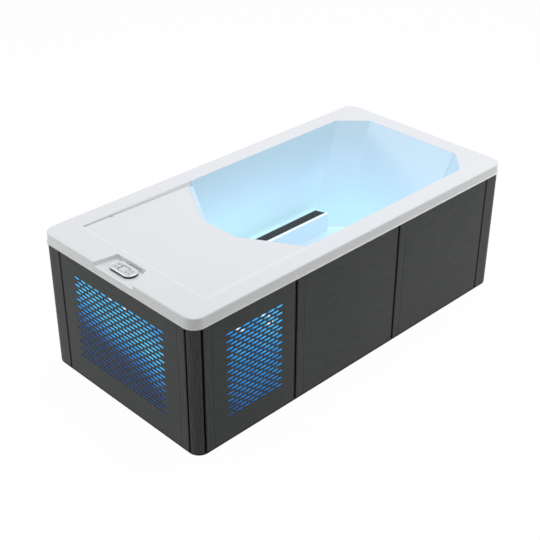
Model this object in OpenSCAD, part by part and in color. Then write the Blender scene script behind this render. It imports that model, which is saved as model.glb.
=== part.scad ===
// Cold plunge tub with its chiller built in. The basin fills the +X end, the equipment bay
// the -X end. The origin is at the middle of the footprint, on the floor, and +Z is up.

/* [Overall] */
// Length of the tub over its rim
tub_l = 2000; // [1900:10:2300]
// Width of the tub over its rim
tub_w = 1000; // [960:10:1150]
// Height from the floor to the top of the rim
tub_h = 677; // [650:1:760]
// Radius of the four upright corners, seen from above
corner_r = 60; // [50:1:80]

/* [Acrylic shell] */
// Thickness of the acrylic sheet with its backing
skin_t = 8; // [6:0.5:10]
// Height of the skirt that hangs from the rim
skirt_h = 51; // [40:1:64]
// Width of the rim along the two long sides
rim_side_w = 97; // [88:1:115]
// Width of the rim at the head end
rim_head_w = 96; // [88:1:115]
// Width of the rim at the equipment end
rim_bay_w = 152; // [145:1:170]
// Chamfer across the two corners at the head end of the basin
mouth_chamfer = 125; // [60:1:160]
// Height of the basin floor above the ground
floor_z = 146; // [140:1:170]
// How far the backrest leans in between rim and floor
backrest_run = 226; // [160:1:260]
// How far each long wall leans in between rim and floor
side_run = 55; // [40:1:75]
// How far the foot wall leans in between rim and floor
foot_run = 65; // [45:1:75]
// Height of the water channel's ledge above the basin floor
ledge_h = 104; // [90:1:130]
// Width of that ledge at its top
ledge_w = 91; // [84:1:110]
// How far the ledge ends short of the backrest's foot
ledge_short = 82; // [60:1:120]

/* [Deck] */
// Length of the deck cover along the sides of the tub
deck_l = 606; // [580:1:620]
// Depth of the notch in the deck's basin edge
notch_d = 178; // [155:1:185]
// Width of the straight bottom of that notch
notch_w = 210; // [190:1:260]
// Gap between the deck cover and the walls of its recess
deck_gap = 4; // [3:0.5:8]
// How far the deck cover lies below the rim at the equipment end
deck_drop_high = 6; // [4:0.5:9]
// How far the deck cover lies below the rim at the basin end
deck_drop_low = 17; // [13:0.5:18]
// Depth of the recess that the deck cover lies in
recess_d = 29; // [27:0.5:32]
// Width of the seat that carries the deck cover
seat_w = 28; // [20:1:34]
// How far the seat stands out past the deck cover's notch
seat_lip = 18; // [10:1:24]

/* [Cladding] */
// Thickness of the cladding panels
panel_t = 12; // [10:0.5:14]
// How far the rim stands out past the cladding
rim_over = 5; // [3:0.5:8]
// Width of the black grooves between the panels
groove_w = 8; // [5:0.5:10]
// Width of the upright stile along one edge of each panel
stile_w = 45; // [35:1:60]
// Leg of the two slim corner posts along the long side
post_slim_long = 48; // [46:1:60]
// Leg of the two slim corner posts along the end
post_slim_end = 55; // [52:1:70]
// Leg of the two wide corner posts
post_wide = 122; // [100:1:135]
// Distance from the equipment end to the first groove of the long side after the post
vent_panel_end = 568; // [550:1:600]
// Height of the base pan's lip, seen as a black line along the floor
pan_lip_t = 6; // [4:0.5:8]
// Shadow gap between the cladding and the skirt
shadow_gap = 4; // [2:0.5:6]

/* [Vents] */
// Thickness of the panel where the vents pass through it
vent_t = 3; // [2:0.5:5]
// Length of one vent slot
slot_l = 40; // [30:1:42]
// Height of one vent slot
slot_h = 10; // [7:0.5:11]
// Distance from one slot to the next along a row
slot_pitch = 46; // [45:0.5:52]
// Distance from one row of slots to the next
row_pitch = 18.4; // [17.5:0.1:24]
// Plain margin between the slots' centres and the sides of the panel
vent_margin = 90; // [70:1:120]
// Plain margin under the lowest row's centre line
vent_low = 124; // [100:1:150]
// Plain margin over the highest row's centre line
vent_high = 85; // [70:1:120]

/* [Controller] */
// Length of the keypad
pad_l = 140; // [130:1:146]
// Width of the keypad
pad_w = 68; // [62:1:72]
// Height of the keypad above its pocket
pad_t = 10; // [8:0.5:12]
// Depth of the keypad's pocket in the rim
pocket_d = 20; // [16:1:24]
// Side of the square screen
screen = 40; // [34:1:44]
// Diameter of a push button
button_d = 10; // [8:0.5:11]
// Travel of a push button
button_travel = 0.8; // [0.5:0.1:1.2]

/* [Frame] */
// Side of the square steel tube of the frame
tube_s = 40; // [35:1:42]
// Wall of that tube
tube_wall = 3; // [2:0.5:4]

/* [Chiller fan] */
// Plain margin of the shroud's plate beside the fan
fan_side = 30; // [26:1:50]
// Gap between the blade tips and the ring
fan_tip_gap = 4; // [3:0.5:8]
// Number of fan blades
fan_blades = 5; // [4:1:7]
// Diameter of the fan motor's shaft
fan_shaft_d = 10; // [8:1:14]
// Gap round each shaft in its bore
shaft_fit = 0.05; // [0.03:0.01:0.08]

/* [Pump] */
// Diameter of the pump's volute
volute_d = 150; // [140:1:156]
// Diameter of the impeller
impeller_d = 104; // [90:1:112]
// Outside diameter of the water pipes
pipe_d = 32; // [25:1:34]
// Wall of the water pipes
pipe_wall = 3; // [2:0.5:4]

/* [Hidden] */
$fn = 64;

// Overrun of every cut, thickness of the slices that a hull spans, clearance of loose pieces
over = 2;
slice_t = 0.1;
loose = 0.3;
hull_fn = 32;

half_l = tub_l / 2;
half_w = tub_w / 2;
skirt_z = tub_h - skirt_h;

// Soft upper edge of the rim
rim_edge_w = 8;
rim_edge_h = 8;
rim_edge_steps = 4;

// Basin and deck outlines
mouth_hw = half_w - rim_side_w;
head_x = half_l - rim_head_w;
basin_d = tub_h - floor_z;
recess_x = -half_l + rim_bay_w;
deck_x = recess_x + deck_l;
deck_hw = mouth_hw - deck_gap;
deck_seat_z = tub_h - recess_d;
notch_dy = deck_hw - notch_w / 2;
notch_len = norm([notch_d, notch_dy]);
foot_x = deck_x - notch_d;
foot_angle = atan(foot_run / basin_d);

// Place across the tub of the notch line moved by d towards the basin
function notch_x(y, d) = foot_x + (y - notch_w / 2) * notch_d / notch_dy + d * notch_len / notch_dy;
function notch_y(d) = notch_w / 2 + (d - d * notch_len / notch_dy) * notch_dy / notch_d;
function basin_ring(hw, far, d) = [
  [far - mouth_chamfer, hw], [far, hw - mouth_chamfer],
  [far, mouth_chamfer - hw], [far - mouth_chamfer, -hw],
  [notch_x(hw, d), -hw], [foot_x + d, -notch_y(d)], [foot_x + d, notch_y(d)], [notch_x(hw, d), hw]];
// Inside surface of the foot wall and of the rear wall at a height z
function foot_wall_x(z) = foot_x + seat_lip + foot_run * (tub_h - z) / basin_d;
function side_wall_y(z) = mouth_hw - side_run * (tub_h - z) / basin_d;

// Ledge along the rear wall, with the water channel in it
ledge_z = floor_z + ledge_h;
ledge_y = side_wall_y(ledge_z) - ledge_w;
ledge_x = head_x - backrest_run - ledge_short;
ledge_skew = 14;
channel_w = 40;
channel_d = 60;
channel_y = ledge_y + ledge_w / 2 - rim_over;
channel_x0 = notch_x(channel_y, seat_lip + foot_run) + 2 * channel_w;
grille_w = 54;
grille_t = 4;
grille_edge = 30;
grille_x0 = channel_x0 - channel_w;
grille_x1 = ledge_x - grille_edge;
grille_skew = 20;
grille_slot = 3;
grille_bar = 5;
intake_x = channel_x0 + channel_w / 2;

// Drain and fittings in the basin
drain_in = 110;
drain_x = foot_wall_x(floor_z) + drain_in;
drain_bore_d = 46;
drain_flange_d = 76;
drain_flange_t = 3;
drain_hole_d = 34;
plug_d = 44;
plug_t = 7;
plug_stem_d = 26;
plug_stem_l = 22;
jet_y = 60;
jet_depth = 240;
jet_z = tub_h - jet_depth;
jet_flange_d = 62;
jet_bore_d = 40;
jet_body_d = 36;
jet_nozzle_d = 20;
jet_flange_t = 6;
light_depth = 340;
light_z = tub_h - light_depth;
light_d = 92;
light_t = 9;
light_body_d = 60;
light_body_l = 30;

// Pocket and keypad
pocket_z = tub_h - pocket_d;
pocket_back = 117;
pocket_front_y = [-134, 124];
pocket_back_y = [-80, 104];
pocket_wall = 10;
pad_in = 68;
pad_x = -half_l + pad_in;
pad_y = 4;
pad_r = 31;
pad_floor = 2.5;
gasket_t = 1.5;
case_l = 112;
case_w = 50;
case_h = 24;
case_wall = 2;
screen_t = 2;
screen_rim = 3;
window = screen - 2 * screen_rim;
board_t = 1.6;
board_gap = 1;
switch_d = 6;
button_above = 1.2;
button_flange_w = 1;
button_flange_d = button_d + 2 * button_flange_w;
button_flange_t = 1;
inner_buttons = [11, 27];
outer_buttons = [10, 44];
button_spots = [for (y = [-1, 1]) for (p = [inner_buttons, outer_buttons]) for (x = [-1, 1])
  [x * p[0], y * p[1]]];

// Cladding
clad_x = half_l - rim_over;
clad_y = half_w - rim_over;
clad_r = corner_r - rim_over;
panel_top = skirt_z - shadow_gap;
panel_h = panel_top - pan_lip_t;
score_w = 1.5;
score_d = 1;
vent_rows = 2 * floor((panel_h - vent_low - vent_high) / row_pitch / 2) + 1;
vent_frame = 34;
front_grooves = [-half_l + post_slim_long, -half_l + vent_panel_end,
  (-half_l + vent_panel_end + half_l - post_wide) / 2, half_l - post_wide];
rear_third = (2 * half_l - 2 * post_wide) / 3;
rear_grooves = [-half_l + post_wide, -half_l + post_wide + rear_third,
  -half_l + post_wide + 2 * rear_third, half_l - post_wide];
bay_end_grooves = [-half_w + post_slim_end, half_w - post_wide];
head_end_grooves = [-half_w + post_wide, half_w - post_slim_end];

// Frame, between the cladding and the basin, with battens in front of it at the grooves
inner_x = clad_x - panel_t;
inner_y = clad_y - panel_t;
batten_t = 14;
frame_x = inner_x - batten_t;
frame_y = inner_y - batten_t;
frame_z0 = pan_lip_t;
frame_z1 = frame_z0 + tube_s;
top_rail_z = tub_h - skin_t - tube_s;
end_rail_z = tub_h - pocket_d - skin_t - 2 * tube_s;
support_w = 60;
support_half = side_wall_y(floor_z) - mouth_chamfer;
support_xs = [drain_x + 2 * drain_flange_d, (drain_x + head_x - backrest_run) / 2 + drain_flange_d,
  head_x - backrest_run - mouth_chamfer + support_w / 2];
board_in = 4;
insul_t = 24;

// Equipment bay: its tray, and the places of what stands on it
tray_t = 3;
tray_lip = 12;
tray_in = 20;
bay_x = -frame_x + tube_s;
tray_top = frame_z1 + tray_t;
tray_x1 = foot_x - tube_s + tray_in / 2;
fan_y = -13;
coil_h = 440;
coil_t = 44;
fan_lift = 44;
coil_room = 35;
fan_z = tray_top + coil_h / 2 + fan_lift;
box_w = 200;
box_lid_t = 18;
box_lid_gap = 2;
box_y = frame_y - tube_s - tray_in - tray_t - box_w - 2 * box_lid_gap;
coil_w = 2 * (box_y - coil_room - fan_y);
fan_d = 2 * (min(coil_w / 2, coil_h / 2 - fan_lift) - fan_side);
bay_gap = 12;
shroud_x = bay_x + bay_gap;
shroud_t = 3;
ring_l = 42;
ring_t = 4;
hub_d = 92;
hub_l = 30;
blade_t = 3;
blade_chord = 70;
blade_pitch = 32;
blade_front = 4;
fan_motor_d = 88;
fan_motor_l = 44;
motor_run = 2;
arm_w = 14;
arm_t = 6;
coil_x = shroud_x + ring_l + fan_motor_l + bay_gap;
bend_r = 14;
bend_d = 9;
coil_rows = 12;
comp_y = 90;
comp_d = 148;
comp_x = coil_x + coil_t + comp_d / 2 + 2 * bay_gap;
comp_h = 150;
comp_dome = 42;
comp_foot = 150;
comp_foot_in = 16;
comp_foot_t = 4;
comp_mount_d = 22;
comp_mount_h = 16;
hx_d = 128;
hx_cap_d = 142;
hx_room = 68;
hx_y = channel_y - hx_room - hx_cap_d / 2;
hx_x = foot_x - 3 * hx_cap_d / 4;
hx_cap_t = 24;
hx_h = 470;
port_wall = 4;
port_d = pipe_d + 2 * port_wall;
port_l = 22;
filter_y = -92;
filter_d = 164;
filter_x = foot_x - 3 * filter_d / 4;
filter_wall = 5;
filter_h = 420;
filter_foot = 30;
lid_d = 176;
lid_h = 32;
lid_top = 8;
lid_grip_w = 22;
lid_grip_h = 20;
cart_d = 120;
cart_bore_d = 50;
cart_h = 330;
cart_cap_t = 12;
cart_pleats = 24;
pump_y = -300;
pump_lift = 86;
pump_z = tray_top + pump_lift;
volute_l = 60;
volute_wall = 8;
volute_x = filter_x + volute_l / 2;
impeller_eye_d = 40;
impeller_t = 5;
vane_h = 12;
vane_t = 4;
vane_count = 6;
pump_shaft_d = 14;
motor_d = 124;
motor_l = 190;
motor_boss_d = 60;
motor_foot_w = 120;
motor_foot_l = 90;
motor_foot_t = 5;
fin_count = 12;
fin_t = 2;
fin_h = 5;
box_l = 120;
box_h = 280;
box_x = bay_x + bay_gap;
ozone_l = 90;
ozone_w = 60;
ozone_h = 170;

// Heights and lines that the pipes follow
bore_d = pipe_d - 2 * pipe_wall;
ball_share = 1.14;
ball_turn_shares = [1 / 12, 1 / 9, 0];
low_lift = 64;
low_z = tray_top + low_lift;
drain_pipe_d = 24;
riser_gap = 11;
riser_x = foot_x - riser_gap;
pressure_rise = 28;
pump_port_z = pump_z + volute_d / 2 + port_l;
pressure_z = pump_port_z + pressure_rise;
valve_in = 360;
valve_x = -half_l + valve_in;
valve_l = 70;
valve_d = 36;
valve_y = frame_y - tube_s - valve_l;
drain_z = frame_z1 + tray_lip + valve_d / 2 + over;
spout_d = 28;
spout_l = 3;
stem_d = 10;
stem_h = 12;
handle_l = 88;
handle_w = 20;
handle_t = 6;
inlet_d = 40;
inlet_l = 20;
inlet_z = 74;
inlet_in = 200;
inlet_x = -half_l + inlet_in;
cord_bore_d = 8;
copper_d = 10;
copper_wall = 1;

module round_plan(l, w, r) {
  square([l - 2 * r, w], center = true);
  square([l, w - 2 * r], center = true);
  for (x = [-1, 1]) for (y = [-1, 1]) translate([x * (l / 2 - r), y * (w / 2 - r)]) circle(r);
}

module obround(l, w) {
  square([l - w, w], center = true);
  for (s = [-1, 1]) translate([s * (l - w) / 2, 0]) circle(w / 2);
}

module tube_bar(len) {
  difference() {
    cube([len, tube_s, tube_s]);
    translate([-over, tube_wall, tube_wall])
      cube([len + 2 * over, tube_s - 2 * tube_wall, tube_s - 2 * tube_wall]);
  }
}

// A cylinder from one point to another
module rod(a, b, d) {
  v = b - a;
  translate(a) rotate([0, acos(v[2] / norm(v)), atan2(v[1], v[0])]) cylinder(h = norm(v), d = d);
}

// Runs of pipe with a ball fitting at each turn
module run(points, d, wall) {
  difference() {
    union() {
      for (i = [0:len(points) - 2]) rod(points[i], points[i + 1], d);
      for (i = [1:1:len(points) - 2]) translate(points[i]) rotate(360 * ball_turn_shares) sphere(d = d * ball_share);
    }
    for (i = [0:len(points) - 2]) rod(points[i], points[i + 1], d - 2 * wall);
  }
}

// Children stand on the inside of the foot wall, with +Z into the basin
module on_foot_wall(y, z) {
  translate([foot_wall_x(z), y, z]) rotate([0, 90 - foot_angle, 0]) children();
}

module rim_block() {
  hull() {
    translate([0, 0, skirt_z]) linear_extrude(slice_t) round_plan(tub_l, tub_w, corner_r, $fn = hull_fn);
    for (i = [0:rim_edge_steps]) {
      a = 90 * i / rim_edge_steps;
      in = rim_edge_w * (1 - cos(a));
      translate([0, 0, tub_h - rim_edge_h * (1 - sin(a)) - slice_t]) linear_extrude(slice_t)
        round_plan(tub_l - 2 * in, tub_w - 2 * in, corner_r - in, $fn = hull_fn);
    }
  }
}

module rim_hat() {
  difference() {
    rim_block();
    translate([0, 0, skirt_z - over]) linear_extrude(skirt_h - skin_t + over)
      round_plan(tub_l - 2 * skin_t, tub_w - 2 * skin_t, corner_r - skin_t);
  }
}

module basin_form(g, top) {
  hull() {
    translate([0, 0, top - slice_t]) linear_extrude(slice_t)
      polygon(basin_ring(mouth_hw + g, head_x + g, seat_lip - g));
    translate([0, 0, floor_z - g]) linear_extrude(slice_t)
      polygon(basin_ring(mouth_hw - side_run + g, head_x - backrest_run + g, seat_lip + foot_run - g));
  }
}

module ledge_block() {
  reach = side_run + ledge_w;
  translate([0, 0, floor_z - over]) linear_extrude(ledge_h + over)
    polygon([[foot_x, ledge_y], [ledge_x, ledge_y],
      [ledge_x - ledge_skew * reach / ledge_w, ledge_y + reach], [foot_x, ledge_y + reach]]);
}

module basin_void() {
  difference() {
    union() {
      basin_form(0, tub_h);
      translate([0, 0, tub_h - slice_t]) linear_extrude(over) polygon(basin_ring(mouth_hw, head_x, seat_lip));
    }
    ledge_block();
  }
}

module pocket_plan(g) {
  polygon([[-half_l - over, pocket_front_y[0] - g], [-half_l + pocket_back + g, pocket_back_y[0] - g],
    [-half_l + pocket_back + g, pocket_back_y[1] + g], [-half_l - over, pocket_front_y[1] + g]]);
}

module acrylic_shell() {
  color("whitesmoke") difference() {
    union() {
      rim_hat();
      basin_form(skin_t, tub_h - skin_t / 2);
      // Tray under the deck cover
      translate([recess_x - skin_t, -mouth_hw - skin_t, deck_seat_z - skin_t])
        cube([notch_x(mouth_hw, seat_lip) - recess_x + skin_t, 2 * (mouth_hw + skin_t), recess_d + skin_t / 2]);
      // Pocket of the keypad
      intersection() {
        translate([0, 0, pocket_z - skin_t]) linear_extrude(pocket_d) pocket_plan(pocket_wall);
        translate([-half_l + skin_t / 2, -half_w, 0]) cube([tub_l, tub_w, tub_h - skin_t / 2]);
      }
    }
    basin_void();
    // Recess of the deck cover, then the opening into the equipment bay
    translate([recess_x, -mouth_hw, deck_seat_z])
      cube([notch_x(mouth_hw, seat_lip) - recess_x, 2 * mouth_hw, recess_d + over]);
    translate([0, 0, deck_seat_z - skin_t - over]) linear_extrude(skin_t + 2 * over)
      polygon(bay_plan());
    translate([0, 0, pocket_z]) linear_extrude(pocket_d + over) pocket_plan(0);
    translate([pad_x, pad_y, pocket_z - skin_t - over]) linear_extrude(skin_t + 2 * over)
      round_plan(case_w + 2 * case_wall, case_l + 2 * case_wall, case_wall + loose);
    // Water channel, its rebate for the grille and its outlet
    translate([channel_x0, channel_y - channel_w / 2, ledge_z - channel_d])
      cube([grille_x1 - grille_edge - channel_x0, channel_w, channel_d + over]);
    translate([0, 0, ledge_z - grille_t]) linear_extrude(grille_t + over) grille_plan(loose);
    translate([intake_x, channel_y, floor_z - over]) cylinder(h = ledge_h, d = bore_d);
    translate([channel_x0 - skin_t, ledge_y + skin_t, floor_z - skin_t - over])
      cube([ledge_x - ledge_skew - channel_x0, ledge_w - 2 * skin_t, ledge_h - channel_d + over]);
    translate([drain_x, 0, floor_z - skin_t - over]) cylinder(h = skin_t + 2 * over, d = drain_bore_d);
    for (s = [-1, 1]) on_foot_wall(s * jet_y, jet_z) translate([0, 0, -skin_t - over])
      cylinder(h = skin_t + 2 * over, d = jet_bore_d);
    on_foot_wall(0, light_z) translate([0, 0, -skin_t - over])
      cylinder(h = skin_t + 2 * over, d = light_body_d + 2 * loose);
  }
}

// Opening under the deck cover, inside its seat
function bay_plan() = let(d = -seat_w, hw = mouth_hw - seat_w) [
  [recess_x + seat_w, -hw], [notch_x(hw, d), -hw], [foot_x + d, -notch_y(d)],
  [foot_x + d, notch_y(d)], [notch_x(hw, d), hw], [recess_x + seat_w, hw]];

module grille_plan(g) {
  polygon([[grille_x0 - g, channel_y - grille_w / 2 - g], [grille_x1 + grille_skew + g, channel_y - grille_w / 2 - g],
    [grille_x1 + g, channel_y + grille_w / 2 + g], [grille_x0 - g, channel_y + grille_w / 2 + g]]);
}

// Deck cover: flat underneath, its top falls towards the basin
module deck_cover() {
  pull_d = 16;
  color("whitesmoke") difference() {
    intersection() {
      translate([0, deck_hw, 0]) rotate([90, 0, 0]) linear_extrude(2 * deck_hw)
        polygon([[recess_x + deck_gap, deck_seat_z], [deck_x, deck_seat_z],
          [deck_x, tub_h - deck_drop_low], [recess_x + deck_gap, tub_h - deck_drop_high]]);
      translate([0, 0, deck_seat_z - over]) linear_extrude(recess_d + 2 * over) polygon([
        [recess_x, -deck_hw - over], [deck_x, -deck_hw - over], [deck_x, -deck_hw], [foot_x, -notch_w / 2],
        [foot_x, notch_w / 2], [deck_x, deck_hw], [deck_x, deck_hw + over], [recess_x, deck_hw + over]]);
    }
    // Finger notch in the rear edge
    translate([recess_x + deck_l / 4, deck_hw, deck_seat_z - over]) cylinder(h = recess_d + 2 * over, d = pull_d);
  }
}

// Children are drawn round the keypad's middle, with the pocket's floor at zero
module at_pad() {
  translate([pad_x, pad_y, pocket_z]) children();
}

module keypad_body() {
  top = gasket_t + pad_t;
  floor_t = top - screen_t - board_gap;
  color("silver") at_pad() difference() {
    union() {
      translate([0, 0, gasket_t]) linear_extrude(pad_t) round_plan(pad_w, pad_l, pad_r);
      translate([0, 0, -case_h]) linear_extrude(case_h + gasket_t + over)
        round_plan(case_w, case_l, case_wall);
    }
    // Hollow of the case, open below the face plate
    translate([0, 0, case_wall - case_h]) linear_extrude(case_h + top - pad_floor - case_wall)
      round_plan(case_w - 2 * case_wall, case_l - 2 * case_wall, case_wall / 2);
    translate([-screen / 2, -screen / 2, top - screen_t]) cube([screen, screen, screen_t + over]);
    translate([-window / 2, -window / 2, 0]) cube([window, window, top + over]);
    for (p = button_spots) translate([p[0], p[1], 0]) cylinder(h = top + over, d = button_d + 2 * loose);
  }
}

module keypad_gasket() {
  color("black") at_pad() linear_extrude(gasket_t) difference() {
    round_plan(pad_w - over, pad_l - over, pad_r - over / 2);
    round_plan(case_w + 2 * loose, case_l + 2 * loose, case_wall + loose);
  }
}

module keypad_screen() {
  color("lightsteelblue") at_pad() translate([-screen / 2 + loose, -screen / 2 + loose, gasket_t + pad_t - screen_t])
    cube([screen - 2 * loose, screen - 2 * loose, screen_t]);
}

// Height of the board's upper face: the buttons' stems reach down to its switches
board_top = gasket_t + pad_t - pad_floor - button_flange_t - button_travel - 2 * board_gap;

module keypad_board() {
  color("darkgreen") at_pad() {
    translate([0, 0, board_top - board_t]) linear_extrude(board_t)
      round_plan(case_w - 2 * case_wall - 2 * loose, case_l - 2 * case_wall - 2 * loose, case_wall / 2);
    for (p = button_spots) translate([p[0], p[1], board_top]) cylinder(h = board_gap, d = switch_d);
    // Posts down to the floor of the case
    for (x = [-1, 1]) for (y = [-1, 1])
      translate([x * (case_w / 4), y * (case_l / 2 - case_wall - switch_d), case_wall - case_h])
        cylinder(h = board_top - board_t - case_wall + case_h, d = switch_d);
  }
}

module button(i) {
  top = gasket_t + pad_t;
  color("dimgray") at_pad() translate([button_spots[i][0], button_spots[i][1], 0]) {
    translate([0, 0, top - pad_floor - button_flange_t])
      cylinder(h = pad_floor + button_flange_t + button_above, d = button_d);
    translate([0, 0, top - pad_floor - button_flange_t - loose / 2]) cylinder(h = button_flange_t, d = button_flange_d);
  }
}

module base_pan() {
  color("black") linear_extrude(pan_lip_t)
    round_plan(2 * (clad_x - score_w), 2 * (clad_y - score_w), clad_r - score_w);
}

// Tube across the tub between the long rails, with a weld's gap at each end
module cross_bar(x, z) {
  translate([x + tube_s, tube_s + loose - frame_y, z]) rotate([0, 0, 90])
    tube_bar(2 * (frame_y - tube_s - loose));
}

module base_frame() {
  color("dimgray") {
    for (y = [-frame_y, frame_y - tube_s]) translate([-frame_x, y, frame_z0]) tube_bar(2 * frame_x);
    for (x = [-frame_x, foot_x - tube_s, frame_x - tube_s]) cross_bar(x, frame_z0);
    for (x = support_xs) cross_bar(x - tube_s / 2, frame_z0);
  }
}

module upright(x, y, z1) {
  translate([x, y, frame_z1]) rotate([0, -90, 0]) translate([0, 0, -tube_s]) tube_bar(z1 - frame_z1);
}

module frame_uprights() {
  color("dimgray") {
    for (y = [-frame_y, frame_y - tube_s]) {
      for (x = [-frame_x, frame_x - tube_s]) upright(x, y, top_rail_z);
    }
    for (i = [1, 2]) upright(front_grooves[i] - tube_s / 2, -frame_y, top_rail_z);
    for (i = [1, 2]) upright(rear_grooves[i] - tube_s / 2, frame_y - tube_s, top_rail_z);
    upright(frame_x - tube_s, -tube_s / 2, top_rail_z);
  }
}

module top_frame() {
  color("dimgray") {
    for (y = [-frame_y, frame_y - tube_s]) translate([-frame_x, y, top_rail_z]) tube_bar(2 * frame_x);
    cross_bar(frame_x - tube_s, top_rail_z);
    cross_bar(-frame_x, end_rail_z);
  }
}

module basin_supports() {
  color("saddlebrown") for (x = support_xs)
    translate([x - support_w / 2, -support_half, frame_z1])
      cube([support_w, 2 * support_half, floor_z - skin_t - frame_z1]);
}

// Foam boards between the battens, flat against the cladding
module insulation_boards() {
  z0 = frame_z1 + board_in;
  h = top_rail_z - board_in - z0;
  in = tube_s / 2 + board_in;
  color("lightyellow") {
    for (i = [1, 2]) {
      translate([front_grooves[i] + in, -inner_y, z0])
        cube([front_grooves[i + 1] - front_grooves[i] - 2 * in, insul_t, h]);
      translate([rear_grooves[i] + in, inner_y - insul_t, z0])
        cube([rear_grooves[i + 1] - rear_grooves[i] - 2 * in, insul_t, h]);
    }
    translate([inner_x - insul_t, head_end_grooves[0] + in, z0])
      cube([insul_t, -head_end_grooves[0] - 2 * in, h]);
    translate([inner_x - insul_t, in, z0]) cube([insul_t, batten_at(half_w, half_w) - 2 * in, h]);
  }
}

// Black battens at the grooves, between the panels and the frame, clear of the corner posts' curve
function batten_at(g, half) = let(most = half - corner_r - tube_s / 2) max(min(g, most), -most);
module panel_battens() {
  color("black") translate([0, 0, pan_lip_t]) {
    for (g = front_grooves) translate([batten_at(g, half_l) - tube_s / 2, -inner_y, 0])
      cube([tube_s, batten_t, panel_h]);
    for (g = rear_grooves) translate([batten_at(g, half_l) - tube_s / 2, frame_y, 0])
      cube([tube_s, batten_t, panel_h]);
    for (g = bay_end_grooves) translate([-inner_x, batten_at(g, half_w) - tube_s / 2, 0])
      cube([batten_t, tube_s, panel_h]);
    for (g = head_end_grooves) translate([frame_x, batten_at(g, half_w) - tube_s / 2, 0])
      cube([batten_t, tube_s, panel_h]);
  }
}

// Corner post with a leg along the side and one along the end
module post(sx, sy, leg_long, leg_end) {
  color("dimgray") translate([0, 0, pan_lip_t]) linear_extrude(panel_h) intersection() {
    difference() {
      round_plan(2 * clad_x, 2 * clad_y, clad_r);
      round_plan(2 * inner_x, 2 * inner_y, clad_r - panel_t);
    }
    translate([sx * (half_l - (leg_long - groove_w / 2) / 2), sy * (half_w - (leg_end - groove_w / 2) / 2)])
      square([leg_long - groove_w / 2, leg_end - groove_w / 2], center = true);
  }
}

module post_front_bay() { post(-1, -1, post_slim_long, post_slim_end); }
module post_front_head() { post(1, -1, post_wide, post_wide); }
module post_rear_bay() { post(-1, 1, post_wide, post_wide); }
module post_rear_head() { post(1, 1, post_wide, post_slim_end); }

// Rows of slots, every second row shifted by half a pitch and one slot shorter
function vent_cols(w) = floor((w - stile_w - 2 * vent_margin) / slot_pitch) + 1;
function vent_mid(w) = stile_w + (w - stile_w) / 2;

module slots(w) {
  cols = vent_cols(w);
  x0 = vent_mid(w) - (cols - 1) * slot_pitch / 2;
  for (r = [0:vent_rows - 1]) for (c = [0:cols - 1 - r % 2])
    translate([x0 + (c + (r % 2) / 2) * slot_pitch, vent_low + r * row_pitch]) obround(slot_l, slot_h);
}

// Back pocket behind the slots, also the outline of the lit screen that lies in it
module vent_pocket(w, g) {
  cols = vent_cols(w);
  pw = (cols - 1) * slot_pitch + slot_l + vent_frame - 2 * g;
  ph = (vent_rows - 1) * row_pitch + slot_h + vent_frame - 2 * g;
  translate([vent_mid(w) - pw / 2, vent_low + (vent_rows - 1) * row_pitch / 2 - ph / 2]) square([pw, ph]);
}

// Panel seen from outside: X along its width, Y up, its face at zero and its body behind
module plain_panel(w) {
  difference() {
    translate([0, 0, -panel_t]) linear_extrude(panel_t) square([w, panel_h]);
    translate([stile_w, -over, -score_d]) cube([score_w, panel_h + 2 * over, score_d + over]);
  }
}

module vent_panel(w) {
  difference() {
    union() {
      translate([0, 0, -vent_t]) linear_extrude(vent_t) difference() {
        square([w, panel_h]);
        slots(w);
      }
      translate([0, 0, -panel_t]) linear_extrude(panel_t - vent_t) difference() {
        square([w, panel_h]);
        vent_pocket(w, 0);
      }
    }
    translate([stile_w, -over, -score_d]) cube([score_w, panel_h + 2 * over, score_d + over]);
  }
}

// Stand a panel up on each side of the tub, from one groove to the next
module on_front(x0) {
  translate([x0 + groove_w / 2, -clad_y, pan_lip_t]) rotate([90, 0, 0]) children();
}
module on_rear(x1) {
  translate([x1 - groove_w / 2, clad_y, pan_lip_t]) rotate([90, 0, 180]) children();
}
module on_bay_end(y1) {
  translate([-clad_x, y1 - groove_w / 2, pan_lip_t]) rotate([90, 0, -90]) children();
}
module on_head_end(y0) {
  translate([clad_x, y0 + groove_w / 2, pan_lip_t]) rotate([90, 0, 90]) children();
}
function span(g, i) = g[i + 1] - g[i] - groove_w;

// The bay end panel carries its stile on its right, so it is mirrored
module bay_end_mirror() {
  w = span(bay_end_grooves, 0);
  on_bay_end(bay_end_grooves[1]) translate([w, 0, 0]) mirror([1, 0, 0]) children();
}

module end_vent_panel() { color("dimgray") bay_end_mirror() vent_panel(span(bay_end_grooves, 0)); }
module front_vent_panel() { color("dimgray") on_front(front_grooves[0]) vent_panel(span(front_grooves, 0)); }
module front_mid_panel() { color("dimgray") on_front(front_grooves[1]) plain_panel(span(front_grooves, 1)); }
module front_head_panel() { color("dimgray") on_front(front_grooves[2]) plain_panel(span(front_grooves, 2)); }
module head_end_panel() { color("dimgray") on_head_end(head_end_grooves[0]) plain_panel(span(head_end_grooves, 0)); }
module rear_mid_panel() { color("dimgray") on_rear(rear_grooves[2]) plain_panel(span(rear_grooves, 1)); }
module rear_head_panel() { color("dimgray") on_rear(rear_grooves[3]) plain_panel(span(rear_grooves, 2)); }

module rear_vent_panel() {
  color("dimgray") difference() {
    on_rear(rear_grooves[1]) vent_panel(span(rear_grooves, 0));
    for (p = [[valve_x, drain_z, spout_d], [inlet_x, inlet_z, inlet_d - inlet_l]])
      translate([p[0], inner_y - over, p[1]]) rotate([-90, 0, 0])
        cylinder(h = panel_t + 2 * over, d = p[2] + 2 * loose);
  }
}

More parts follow.
